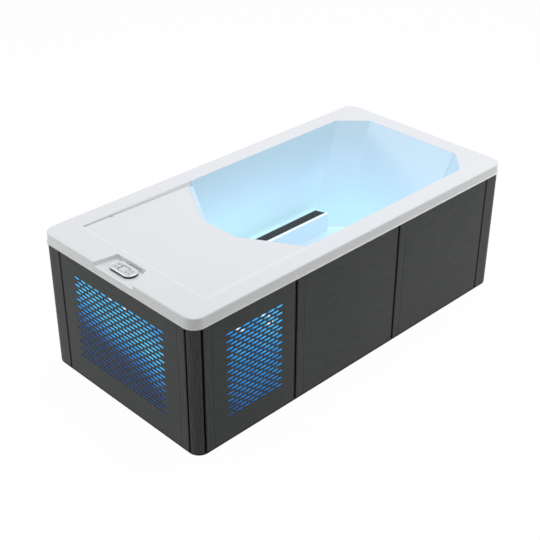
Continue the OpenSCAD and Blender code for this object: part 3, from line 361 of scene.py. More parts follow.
class Finish:
    """A material with its nodes, built step by step."""

    def __init__(self, name, **sockets):
        self.material = bpy.data.materials.new(name)
        self.material.use_nodes = True
        self.tree = self.material.node_tree
        self.shader = self.tree.nodes["Principled BSDF"]
        for key, value in sockets.items():
            self.shader.inputs[key.replace("_", " ")].default_value = value

    def node(self, kind, inputs=None, **settings):
        return add_node(self.tree, kind, inputs, **settings)

    def to_shader(self, socket, key):
        self.tree.links.new(socket, self.shader.inputs[key])

    def light_up(self, base, glow, strength):
        """Gives the surface its colour and the light that it sends out."""
        self.to_shader(base, "Base Color")
        self.to_shader(glow, "Emission Color")
        self.shader.inputs["Emission Strength"].default_value = strength

    def place(self, scale=(1, 1, 1)):
        """Object coordinates, stretched."""
        where = self.node("ShaderNodeTexCoord").outputs["Object"]
        mapped = self.node("ShaderNodeMapping", {"Vector": where, "Scale": scale})
        return mapped.outputs["Vector"]

    def noise(self, scale, stretch=(1, 1, 1), detail=4.0, rough=0.55):
        values = {"Vector": self.place(stretch), "Scale": scale, "Detail": detail, "Roughness": rough}
        return self.node("ShaderNodeTexNoise", values).outputs["Fac"]

    def blend(self, fac, a, b):
        """One colour passing into another, as far as fac says."""
        return self.node("ShaderNodeMix", {0: fac, 6: a, 7: b}, data_type="RGBA").outputs[2]

    def math(self, what, a, b=0.0, c=0.0, clamp=False):
        return self.node("ShaderNodeMath", {0: a, 1: b, 2: c}, operation=what, use_clamp=clamp).outputs[0]

    def within(self, value, *pairs):
        """The value where the first of each pair is less than its second, and 0 elsewhere."""
        for low, high in pairs:
            value = self.math("MULTIPLY", value, self.math("LESS_THAN", low, high))
        return value

    def ramp(self, fac, stops):
        r = self.node("ShaderNodeValToRGB", {"Fac": fac})
        while len(r.color_ramp.elements) < len(stops):
            r.color_ramp.elements.new(0.5)
        for e, (at, colour) in zip(r.color_ramp.elements, stops):
            e.position = at
            e.color = colour
        return r.outputs["Color"]

    def span(self, value, low, high, out_low=0.0, out_high=1.0):
        values = {"Value": value, "From Min": low, "From Max": high, "To Min": out_low, "To Max": out_high}
        return self.node("ShaderNodeMapRange", values).outputs["Result"]

    def axes(self, kind="Object"):
        """The three object coordinates as numbers, or the three parts of the normal."""
        where = self.node("ShaderNodeTexCoord").outputs[kind]
        return self.node("ShaderNodeSeparateXYZ", {"Vector": where}).outputs

    def bump(self, height, strength, distance):
        b = self.node("ShaderNodeBump", {"Height": height, "Strength": strength, "Distance": distance})
        self.to_shader(b.outputs["Normal"], "Normal")


def tone(r, g, b):
    """A screen colour, 0 to 255, as the linear colour that a socket takes."""
    out = []
    for c in (r / 255, g / 255, b / 255):
        out.append(c / 12.92 if c <= 0.04045 else ((c + 0.055) / 1.055) ** 2.4)
    return (*out, 1.0)


def shade(colour, k):
    """A colour made lighter or darker."""
    return (*[min(1.0, c * k) for c in colour[:3]], 1.0)


def colour_of(name):
    """A colour from the panel's settings."""
    return (*getattr(bpy.context.scene.tub_colours, name), 1.0)


def acrylic(name, colour):
    """Glossy cast sheet: a faint cloudiness in its colour, fine orange peel in its surface, a painted
    highlight along the deck recess and side faces painted lighter than the top.
    """
    f = Finish(name, Roughness=0.33, IOR=1.46, Coat_Weight=0.12, Coat_Roughness=0.2)
    clouded = f.blend(f.noise(1.6, detail=2.0), shade(colour, 0.985), shade(colour, 1.01))
    # Painted highlight: a lighter line along the recess edge that the deck cover leans on, standing in for
    # light caught on the rounded edge
    x, y, z = (f.axes()[k] for k in ("X", "Y", "Z"))
    past = f.math("MAXIMUM", f.math("SUBTRACT", RECESS_X, x), f.math("SUBTRACT", -MOUTH_HW, y))
    line = f.span(f.math("ABSOLUTE", f.math("SUBTRACT", past, 0.002)), 0.005, 0.003)
    spare = 0.01
    line = f.within(line, (x, DECK_X), (y, MOUTH_HW), (RECESS_X - spare, x), (-MOUTH_HW - spare, y),
                    (TOP - 0.004, z))
    # Painted light: side faces are painted a little lighter and more neutral than the top
    turned = f.axes("Normal")
    clouded = f.blend(f.span(turned["Z"], 0.8, 0.3), clouded, tone(242, 244, 243))
    f.to_shader(f.blend(line, clouded, tone(246, 247, 249)), "Base Color")
    f.to_shader(f.span(f.noise(3.0, detail=2.0), 0.3, 0.7, 0.3, 0.36), "Roughness")
    f.bump(f.noise(420, detail=1.0), 0.02, 0.0002)
    return f.material


def moulded(name, colour, rough=0.5, grain=900, depth=0.0003):
    """Moulded plastic or rubber with a fine even texture."""
    f = Finish(name, Roughness=rough, IOR=1.47)
    f.to_shader(f.blend(f.noise(6), shade(colour, 0.85), shade(colour, 1.12)), "Base Color")
    f.to_shader(f.span(f.noise(40), 0.25, 0.75, rough - 0.08, min(1, rough + 0.1)), "Roughness")
    f.bump(f.noise(grain, detail=1.0), 0.2, depth)
    return f.material


def metal(name, colour, rough=0.35, stretch=(1, 1, 40), grain=60):
    """Sheet or tube metal with drawn marks along it."""
    f = Finish(name, Metallic=1.0, Roughness=rough)
    marks = f.noise(grain, stretch)
    f.to_shader(f.blend(marks, shade(colour, 0.82), shade(colour, 1.1)), "Base Color")
    f.to_shader(f.span(marks, 0.3, 0.7, rough - 0.1, rough + 0.14), "Roughness")
    f.bump(marks, 0.15, 0.0002)
    return f.material


def painted(name, colour, rough=0.42):
    """Powder coat over steel, with worn spots."""
    f = Finish(name, Roughness=rough, Coat_Weight=0.2, Coat_Roughness=0.3)
    f.to_shader(f.blend(f.noise(9), shade(colour, 0.8), shade(colour, 1.25)), "Base Color")
    f.to_shader(f.span(f.noise(30), 0.3, 0.7, rough - 0.08, rough + 0.12), "Roughness")
    f.bump(f.noise(700, detail=2.0), 0.25, 0.0003)
    return f.material


class TubSizes(bpy.types.PropertyGroup):
    """Sizes of the tub's softened edges and small parts."""

    rim_soft_w: bpy.props.FloatProperty(
        name="Rim edge width", description="Width of the soft upper edge of the rim",
        default=0.006, min=0.004, max=0.04, unit="LENGTH")
    rim_soft_h: bpy.props.FloatProperty(
        name="Rim edge height", description="Height of the soft upper edge of the rim",
        default=0.006, min=0.004, max=0.03, unit="LENGTH")
    lip_h: bpy.props.FloatProperty(
        name="Lip height", description="Height of the lip along the lower edge of the skirt",
        default=0.0065, min=0.004, max=0.01, unit="LENGTH")
    lip_out: bpy.props.FloatProperty(
        name="Lip overhang", description="How far that lip stands out past the skirt",
        default=0.0034, min=0.001, max=0.005, unit="LENGTH")
    mouth_round: bpy.props.FloatProperty(
        name="Mouth edge", description="Radius of the basin's upper edge",
        default=0.002, min=0.001, max=0.01, unit="LENGTH")
    facet_round: bpy.props.FloatProperty(
        name="Facet edge", description="Radius where the walls and the floor of the basin meet",
        default=0.012, min=0.004, max=0.03, unit="LENGTH")
    deck_round: bpy.props.FloatProperty(
        name="Deck edge", description="Radius of the deck cover's upper edge",
        default=0.003, min=0.001, max=0.006, unit="LENGTH")
    grille_ribs: bpy.props.IntProperty(
        name="Grille ribs", description="Ribs across the width of the intake grille",
        default=7, min=3, max=12)


class TubColours(bpy.types.PropertyGroup):
    """Colours of the tub's finishes and lights."""

    acrylic: bpy.props.FloatVectorProperty(
        name="Acrylic", description="White of the shell and the deck cover",
        default=tone(231, 233, 238)[:3], subtype="COLOR", min=0, max=1)
    cladding_dark: bpy.props.FloatVectorProperty(
        name="Cladding, dark grain", description="Darker streaks of the cladding",
        default=tone(57, 59, 59)[:3], subtype="COLOR", min=0, max=1)
    cladding_light: bpy.props.FloatVectorProperty(
        name="Cladding, light grain", description="Lighter streaks of the cladding",
        default=tone(83, 85, 84)[:3], subtype="COLOR", min=0, max=1)
    basin_high: bpy.props.FloatVectorProperty(
        name="Basin glow, high", description="Light on the basin under the rim",
        default=tone(191, 217, 232)[:3], subtype="COLOR", min=0, max=1)
    basin_mid: bpy.props.FloatVectorProperty(
        name="Basin glow, middle", description="Light on the basin walls",
        default=tone(203, 233, 254)[:3], subtype="COLOR", min=0, max=1)
    basin_low: bpy.props.FloatVectorProperty(
        name="Basin glow, low", description="Light on the basin by its lamps",
        default=tone(206, 246, 255)[:3], subtype="COLOR", min=0, max=1)
    vent_bright: bpy.props.FloatVectorProperty(
        name="Vent light, bright", description="Brightest light behind the vents",
        default=tone(96, 216, 255)[:3], subtype="COLOR", min=0, max=1)
    vent_blue: bpy.props.FloatVectorProperty(
        name="Vent light, blue", description="Even light behind the vents",
        default=tone(26, 152, 236)[:3], subtype="COLOR", min=0, max=1)
    vent_dark: bpy.props.FloatVectorProperty(
        name="Vent light, dark", description="Faint light behind the vents",
        default=tone(16, 74, 140)[:3], subtype="COLOR", min=0, max=1)
    grille: bpy.props.FloatVectorProperty(
        name="Grille", description="Colour of the intake grille",
        default=tone(80, 80, 78)[:3], subtype="COLOR", min=0, max=1)


def lit_acrylic():
    """The basin's acrylic, with the light of lamps under the deck and at the head end painted into its colour
    and sent out as a glow of its own.
    """
    high, mid, low = (colour_of("basin_" + n) for n in ("high", "mid", "low"))
    f = Finish("lit_basin_acrylic", Roughness=0.3, IOR=1.49, Coat_Weight=0.3, Coat_Roughness=0.15)
    # Painted light: two pools of lamp light, fading up the walls towards the rim
    where = f.node("ShaderNodeTexCoord").outputs["Object"]
    glows = []
    for centre, stretch in (((-0.16, 0.36, 0.30), (0.95, 0.55, 1.7)), ((0.70, 0.0, 0.20), (1.4, 0.8, 1.9))):
        shift = [-c * s for c, s in zip(centre, stretch)]
        near = f.node("ShaderNodeMapping", {"Vector": where, "Location": shift, "Scale": stretch})
        far = f.node("ShaderNodeVectorMath", {0: near.outputs["Vector"]}, operation="LENGTH").outputs["Value"]
        glows.append(f.span(far, 0.0, 0.85, 1.0, 0.0))
    glow = f.math("MAXIMUM", glows[0], glows[1], clamp=True)
    height = f.span(f.axes()["Z"], 0.25, 0.66, 0.35, 0.0)
    cloud = f.span(f.noise(2.2), 0.3, 0.7, -0.06, 0.06)
    level = f.math("ADD", f.math("ADD", f.math("MULTIPLY", glow, 0.75), height), cloud, clamp=True)
    colour = f.ramp(level, [(0.0, high), (0.42, mid), (0.95, low)])
    # Painted light and shade on each facet by the way it faces: head walls painted lighter, the rear wall's
    # top and the foot walls' tops painted greyer
    x, y, z = (f.axes()[k] for k in ("X", "Y", "Z"))
    turned = f.axes("Normal")
    to_head = f.math("MAXIMUM", f.span(turned["X"], -0.3, -0.95), f.span(turned["Y"], 0.2, 0.4))
    to_head = f.math("MULTIPLY", to_head, f.span(z, 0.25, 0.62, 0.1, 0.6))
    colour = f.blend(to_head, colour, tone(186, 216, 236))
    top_shade = f.math("MULTIPLY", f.span(z, 0.42, 0.68, 0.0, 0.75), f.span(turned["Y"], -0.7, -0.9))
    colour = f.blend(top_shade, colour, tone(182, 209, 224))
    foot_shade = f.math("MULTIPLY", f.span(z, 0.45, 0.6), f.span(turned["X"], 0.2, 0.5))
    colour = f.blend(foot_shade, colour, tone(188, 202, 212))
    # Painted shade: the basin floor is painted greyer, less so by the end of the ledge
    floor = f.within(f.span(x, LEDGE_X - 0.1, LEDGE_X - 0.02, 0.8, 0.35), (z, FLOOR_Z + 0.012))
    colour = f.blend(floor, colour, tone(203, 222, 235))
    # Painted light on the front of the ledge, and a painted highlight as a white line along its upper edge
    front = f.span(turned["Y"], -0.5, -0.95, 0.0, 0.85)
    front = f.within(front, (z, LEDGE_Z - 0.004), (x, LEDGE_X + 0.001))
    colour = f.blend(front, colour, tone(200, 229, 251))
    nosing_y = side_wall_y(LEDGE_Z) - LEDGE_W
    nosing_highlight = f.math("MULTIPLY", f.span(y, nosing_y + 0.0125, nosing_y + 0.0105),
                    f.span(z, LEDGE_Z - 0.005, LEDGE_Z - 0.002))
    nosing_highlight = f.within(nosing_highlight, (z, LEDGE_Z + 0.001), (x, LEDGE_X + 0.001), (nosing_y - 0.001, y))
    colour = f.blend(nosing_highlight, colour, WHITE)
    # Half the painted colour is sent out as glow
    f.light_up(f.blend(0.5, BLACK, colour), colour, 0.55)
    f.bump(f.noise(220, detail=2.0), 0.05, 0.0004)
    return f.material


def grained(name, across, stile, ends=(-2, 2)):
    """Charcoal cladding with fine drawn grain: upright on its stile, level on the rest, dark along its ends,
    with painted shade along its foot.
    across is 0 for a panel along the tub and 1 for one across it; stile and ends are places on that axis."""
    dark, light = colour_of("cladding_dark"), colour_of("cladding_light")
    f = Finish(name, Roughness=0.5, IOR=1.4, Specular_IOR_Level=0.2)
    level, up = (f.noise(4.0, stretch, 5.0, 0.6) for stretch in ((3, 3, 70), (70, 70, 3)))
    at = f.axes()[("X", "Y")[across]]
    on_stile = f.within(1.0, (stile[0], at), (at, stile[1]))
    mixed = f.node("ShaderNodeMix", {0: on_stile, 2: level, 3: up}).outputs[0]
    soft = f.noise(1.6, detail=2.0)
    tint = f.math("ADD", f.span(mixed, 0.34, 0.66), f.span(soft, 0.3, 0.7, -0.12, 0.12), clamp=True)
    # Dark within a few millimetres of the panel's ends; along the foot the dark is painted shade of the gap
    # under the panel
    inset = f.math("MINIMUM", f.math("SUBTRACT", at, ends[0]), f.math("SUBTRACT", ends[1], at))
    foot = f.span(f.axes()["Z"], CLAD_Z + 0.003, CLAD_Z + 0.006)
    clear = f.math("MULTIPLY", foot, f.span(inset, 0.0035, 0.0075))
    colour = f.blend(clear, tone(14, 14, 14), f.blend(tint, dark, light))
    f.to_shader(colour, "Base Color")
    f.to_shader(f.span(mixed, 0.3, 0.7, 0.4, 0.6), "Roughness")
    f.bump(mixed, 0.3, 0.0004)
    return f.material


def vent_glow():
    """The lit screens behind the vents: each slot is darker towards one end, a painted shade of the slot's
    wall, and a few points shine white.
    """
    bright, blue, dark = (colour_of("vent_" + n) for n in ("bright", "blue", "dark"))
    f = Finish("vent_glow", Roughness=0.5)
    x, y, z = (f.axes()[k] for k in ("X", "Y", "Z"))
    on_end = f.math("LESS_THAN", x, -0.985)
    across, down = f.span(y, 0.27, -0.30), f.span(z, 0.535, 0.125)
    # End: a bright band falls from one upper corner, with darkness under it
    off = f.math("SUBTRACT", down, f.math("MULTIPLY_ADD", across, 0.26, 0.14))
    below, above = f.math("MAXIMUM", off, 0.0), f.math("MAXIMUM", f.math("MULTIPLY", off, -1.0), 0.0)
    fall = f.math("MULTIPLY", below, f.math("MULTIPLY_ADD", below, 0.6, 1.5))
    end = f.math("SUBTRACT", f.math("SUBTRACT", 0.86, fall), f.math("MULTIPLY", above, 0.6))
    edge = f.math("MULTIPLY", f.span(across, 0.0, 0.18, 1.0, 0.0), f.math("MULTIPLY_ADD", down, 0.42, -0.15))
    end = f.math("ADD", end, edge)
    side = f.math("SUBTRACT", f.span(down, 0.3, 1.05, 0.66, 0.3), f.span(x, -0.74, -0.84, 0.0, 0.16))
    level = f.math("ADD", f.node("ShaderNodeMix", {0: on_end, 2: side, 3: end}).outputs[0],
                   f.span(f.noise(7, detail=2.0), 0.3, 0.7, -0.09, 0.09), clamp=True)
    colour = f.ramp(level, [(0.0, shade(dark, 0.6)), (0.22, dark), (0.55, blue), (0.95, bright)])
    # Painted shade of each slot's wall: one slot after another, every second row moved by half a pitch, each
    # slot darker towards one end
    rise = f.math("SUBTRACT", z, VENT_LOW_Z - ROW_PITCH / 2 - SLOT_SINK)
    row = f.math("FLOOR", f.math("DIVIDE", rise, ROW_PITCH))
    moved = f.math("MULTIPLY", f.math("MODULO", row, 2.0), 0.5)
    phases = []
    for at, middle in ((y, -0.011), (x, -0.6695)):
        steps = f.math("DIVIDE", f.math("SUBTRACT", at, middle + SLOT_SINK), SLOT_PITCH)
        phases.append(f.math("FRACT", f.math("ADD", f.math("ADD", steps, 20.5), moved)))
    ends = f.node("ShaderNodeMix", {0: on_end, 2: f.span(phases[1], 0.12, 0.42, 0.5, 1.0),
                                    3: f.span(phases[0], 0.5, 0.86, 1.0, 0.25)}).outputs[0]
    colour = f.blend(ends, shade(dark, 0.5), colour)
    where = f.node("ShaderNodeTexCoord").outputs["Object"]
    shine = 0.0
    for point in VENT_POINTS:
        far = f.node("ShaderNodeVectorMath", {0: where, 1: point}, operation="DISTANCE").outputs["Value"]
        shine = f.math("MAXIMUM", shine, f.span(far, 0.004, 0.011, 1.0, 0.0))
    colour = f.blend(shine, colour, tone(240, 250, 255))
    f.light_up(f.blend(0.5, BLACK, colour), colour, 1.0)
    return f.material


# Operators, one for each group of pieces

class TUB_OT_shell(bpy.types.Operator):
    """Model the acrylic shell: rim, basin, ledge, deck recess and keypad pocket"""

    bl_idname = "tub.shell"
    bl_label = "Acrylic shell"

    def execute(self, context):
        sizes = context.scene.tub_sizes
        out = sizes.lip_out
        rim = slab("acrylic_shell_skin", CENTRE, (HALF_L - out, HALF_W - out),
                   SKIRT_Z, TOP - sizes.rim_soft_h)
        round_edges(rim, SKIRT_ROUND, CORNER_STEPS, upright)
        lip = slab("lip", CENTRE, (HALF_L, HALF_W), SKIRT_Z, SKIRT_Z + sizes.lip_h)
        round_edges(lip, LIP_ROUND, CORNER_STEPS, upright)
        round_edges(lip, out - 0.0001, 1, above(SKIRT_Z + 0.001), 0.9)
        # Soft upper edge, drawn in step by step
        l, w, z = HALF_L - out, HALF_W - out, TOP - sizes.rim_soft_h
        for i in range(1, RIM_STEPS + 1):
            a = math.pi / 2 * i / RIM_STEPS
            inset = sizes.rim_soft_w * (1 - math.cos(a))
            rise = TOP - sizes.rim_soft_h * (1 - math.sin(a))
            choose_faces(rim, lambda c, n: n.z > 0.9 and c.z > z - 1e-5)
            bpy.ops.mesh.extrude_region_move(TRANSFORM_OT_translate={"value": (0, 0, rise - z)})
            now_l, now_w = HALF_L - out - inset, HALF_W - out - inset
            bpy.ops.transform.resize(value=(now_l / l, now_w / w, 1), center_override=(0, 0, rise))
            bpy.ops.object.mode_set(mode="OBJECT")
            l, w, z = now_l, now_w, rise
        add_to(rim, lip)
        under = slab("under", CENTRE, (HALF_L - SKIN, HALF_W - SKIN), SKIRT_Z - 0.01, TOP - SKIN)
        round_edges(under, UNDER_ROUND, 12, upright)
        cut(rim, under)
        # Outside of the basin, the deck's tray and the keypad's tray
        floor_hw, floor_x, floor_d = MOUTH_HW - SIDE_RUN, HEAD_X - BACKREST_RUN, SEAT_LIP + FOOT_RUN
        low_out = basin_ring(floor_hw + SKIN, floor_x + SKIN, floor_d - SKIN)
        top_out = basin_ring(MOUTH_HW + SKIN, HEAD_X + SKIN, SEAT_LIP - SKIN)
        tub = self.form("tub", low_out, top_out, FLOOR_Z - SKIN, TOP - SKIN / 2)
        seat_end = notch_x(MOUTH_HW, SEAT_LIP)
        tray = block("tray", (RECESS_X - SKIN, -MOUTH_HW - SKIN, SEAT_Z - SKIN),
                     (seat_end, MOUTH_HW + SKIN, TOP - SKIN / 2))
        pocket = [
            (-HALF_L + SKIN / 2, POCKET_FRONT[0] - 0.006), (POCKET_X + 0.01, POCKET_BACK[0] - 0.01),
            (POCKET_X + 0.01, POCKET_BACK[1] + 0.01), (-HALF_L + SKIN / 2, POCKET_FRONT[1] + 0.009),
        ]
        add_to(rim, tub, tray, prism("pocket_tray", pocket, POCKET_Z - SKIN, TOP - SKIN / 2))
        # Inside of the basin with its ledge left standing
        low_in = basin_ring(floor_hw, floor_x, floor_d)
        top_in = basin_ring(MOUTH_HW, HEAD_X, SEAT_LIP)
        water = self.form("water", low_in, top_in, FLOOR_Z, TOP)
        choose_faces(water, lambda c, n: n.z > 0.9)
        bpy.ops.mesh.extrude_region_move(TRANSFORM_OT_translate={"value": (0, 0, 0.03)})
        bpy.ops.object.mode_set(mode="OBJECT")
        round_edges(water, sizes.facet_round, 5, lambda a, b: min(a.z, b.z) < TOP - 0.01, 0.1)
        y0 = side_wall_y(LEDGE_Z) - LEDGE_W
        reach = SIDE_RUN + LEDGE_W
        plan = [(FOOT_X, y0), (LEDGE_X, y0), (LEDGE_X - LEDGE_SKEW * reach / LEDGE_W, y0 + reach),
                (FOOT_X, y0 + reach)]
        ledge = prism("ledge", plan, FLOOR_Z - 0.01, LEDGE_Z)
        round_edges(ledge, 0.006, 4,
                    lambda a, b: min(a.z, b.z) > LEDGE_Z - 0.001 or (upright(a, b) and a.x > 0))
        cut(water, ledge)
        cut(rim, water)
        # Deck recess, bay opening, keypad pocket
        cut(rim, block("recess", (RECESS_X, -MOUTH_HW, SEAT_Z), (seat_end, MOUTH_HW, TOP + 0.02)))
        d, hw = -SEAT_W, MOUTH_HW - SEAT_W
        bay = [
            (RECESS_X + SEAT_W, -hw), (notch_x(hw, d), -hw), (FOOT_X + d, -notch_y(d)),
            (FOOT_X + d, notch_y(d)), (notch_x(hw, d), hw), (RECESS_X + SEAT_W, hw),
        ]
        cut(rim, prism("bay", bay, SEAT_Z - 0.02, SEAT_Z + 0.01))
        plan = [(-HALF_L - 0.01, POCKET_FRONT[0]), (POCKET_X, POCKET_BACK[0]),
                (POCKET_X, POCKET_BACK[1]), (-HALF_L - 0.01, POCKET_FRONT[1])]
        hollow = prism("pocket", plan, POCKET_Z, TOP + 0.02)
        round_edges(hollow, 0.004, 4,
                    lambda a, b: (upright(a, b) and a.x > -0.9) or max(a.z, b.z) < POCKET_Z + 0.001)
        cut(rim, hollow)
        pad = sum(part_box("keypad_body"), Vector()) / 2
        cut(rim, slab("case_hole", pad, (CASE_HX + CASE_PLAY, CASE_HY + CASE_PLAY), 0.6, POCKET_Z + 0.005))
        # Water channel, grille rebate, fittings' holes
        low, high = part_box("intake_grille")
        cut(rim, block("channel", (low.x + 0.04, CHANNEL_Y - 0.02, 0.19),
                       (high.x - GRILLE_SKEW - 0.03, CHANNEL_Y + 0.02, 0.26)))
        e = 0.0004
        rebate = [(low.x - e, low.y - e), (high.x + e, low.y - e),
                  (high.x - GRILLE_SKEW + e, high.y + e), (low.x - e, high.y + e)]
        cut(rim, prism("rebate", rebate, LEDGE_Z - 0.0041, LEDGE_Z + 0.01))
        cut(rim, drum("intake", INTAKE_R, 0.12, (low.x + 0.06, CHANNEL_Y, 0.12)))
        drain_low, drain_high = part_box("drain_fitting")
        cut(rim, drum("drain", DRAIN_R, 0.06, ((drain_low.x + drain_high.x) / 2, 0, 0.12)))
        for y, z, r in ((-0.06, JET_Z, JET_R), (0.06, JET_Z, JET_R), (0, LIGHT_Z, LAMP_R)):
            into = Vector((math.cos(FOOT_ANGLE), 0, math.sin(FOOT_ANGLE)))
            at = Vector((foot_wall_x(z), y, z)) - 0.03 * into
            cut(rim, drum("hole", r, 0.06, at, (0, math.pi / 2 - FOOT_ANGLE, 0)))
        # Softened edge round the mouth of the basin and the deck's recess
        e = 0.001
        round_edges(rim, sizes.mouth_round, 4, lambda a, b: min(a.z, b.z) > TOP - 0.0005
                    and abs(a.y) < MOUTH_HW + e and abs(b.y) < MOUTH_HW + e
                    and min(a.x, b.x) > RECESS_X - e and max(a.x, b.x) < HEAD_X + e)
        soften(rim, 32)
        white, lit = acrylic("white_acrylic", colour_of("acrylic")), lit_acrylic()
        paint(rim, white, lit)
        choose_faces(rim, lambda c, n: self.inside(c) and c.z < TOP - 0.0012)
        rim.active_material_index = 1
        bpy.ops.object.material_slot_assign()
        bpy.ops.object.mode_set(mode="OBJECT")
        fit(rim, "tub", "white_acrylic", "acrylic_shell")
        return {"FINISHED"}

    def form(self, name, low, top, low_z, top_z):
        """An eight-sided form that widens from its floor ring to its top ring."""
        piece = start(name, bpy.ops.mesh.primitive_cylinder_add,
                      vertices=8, radius=1, depth=2, location=(0, 0, 0))
        move_points(piece, [p for i in range(8) for p in ((*low[i], low_z), (*top[i], top_z))])
        only(piece)
        bpy.ops.object.mode_set(mode="EDIT")
        bpy.ops.mesh.select_all(action="SELECT")
        bpy.ops.mesh.normals_make_consistent(inside=False)
        bpy.ops.object.mode_set(mode="OBJECT")
        return piece

    def inside(self, c):
        """Whether a place is in the basin, walls included."""
        if c.z < FLOOR_Z - 0.004 or c.x > HEAD_X + 0.004 or abs(c.y) > MOUTH_HW + 0.003:
            return False
        share = (TOP - c.z) / (TOP - FLOOR_Z)
        d = SEAT_LIP + FOOT_RUN * share - 0.003
        if c.x < max(FOOT_X + d, notch_x(abs(c.y), d)):
            return False
        half, far = MOUTH_HW - SIDE_RUN * share, HEAD_X - BACKREST_RUN * share
        if abs(c.y) > half + 0.003 or c.x > far + 0.003:
            return False
        return c.x + abs(c.y) < far + half - MOUTH_CHAMFER + 0.005


class TUB_OT_deck(bpy.types.Operator):
    """Model the lift-off deck cover with its notch and finger hole"""

    bl_idname = "tub.deck"
    bl_label = "Deck cover"

    def execute(self, context):
        x0 = RECESS_X + DECK_GAP
        finger_x = RECESS_X + (DECK_X - RECESS_X) / 4
        plan = [(x0, -DECK_HW), (DECK_X, -DECK_HW), (FOOT_X, -NOTCH_HALF),
                (FOOT_X, NOTCH_HALF), (DECK_X, DECK_HW), (x0, DECK_HW)]
        tops = [TOP - DECK_DROP - DECK_FALL * (x - x0) / (DECK_X - x0) for x, y in plan]
        deck = prism("deck_cover_board", plan, SEAT_Z, tops)
        cut(deck, drum("finger", FINGER_R, 0.06, (finger_x, DECK_HW, SEAT_Z - 0.02), sides=24))
        # Lines across the top, so that its faces stay compact and shade evenly
        for y in (-NOTCH_HALF, NOTCH_HALF):
            split_at(deck, (0, y, 0), (0, 1, 0))
        split_at(deck, (FOOT_X, 0, 0), (1, 0, 0))
        round_edges(deck, 0.005, 4, lambda a, b: upright(a, b) and abs(a.x - finger_x) > 0.02)
        round_edges(deck, context.scene.tub_sizes.deck_round, 3, above(SEAT_Z + 0.01))
        soften(deck)
        paint(deck, acrylic("deck_acrylic", colour_of("acrylic")))
        fit(deck, "deck", "white_acrylic", "deck_cover")
        return {"FINISHED"}


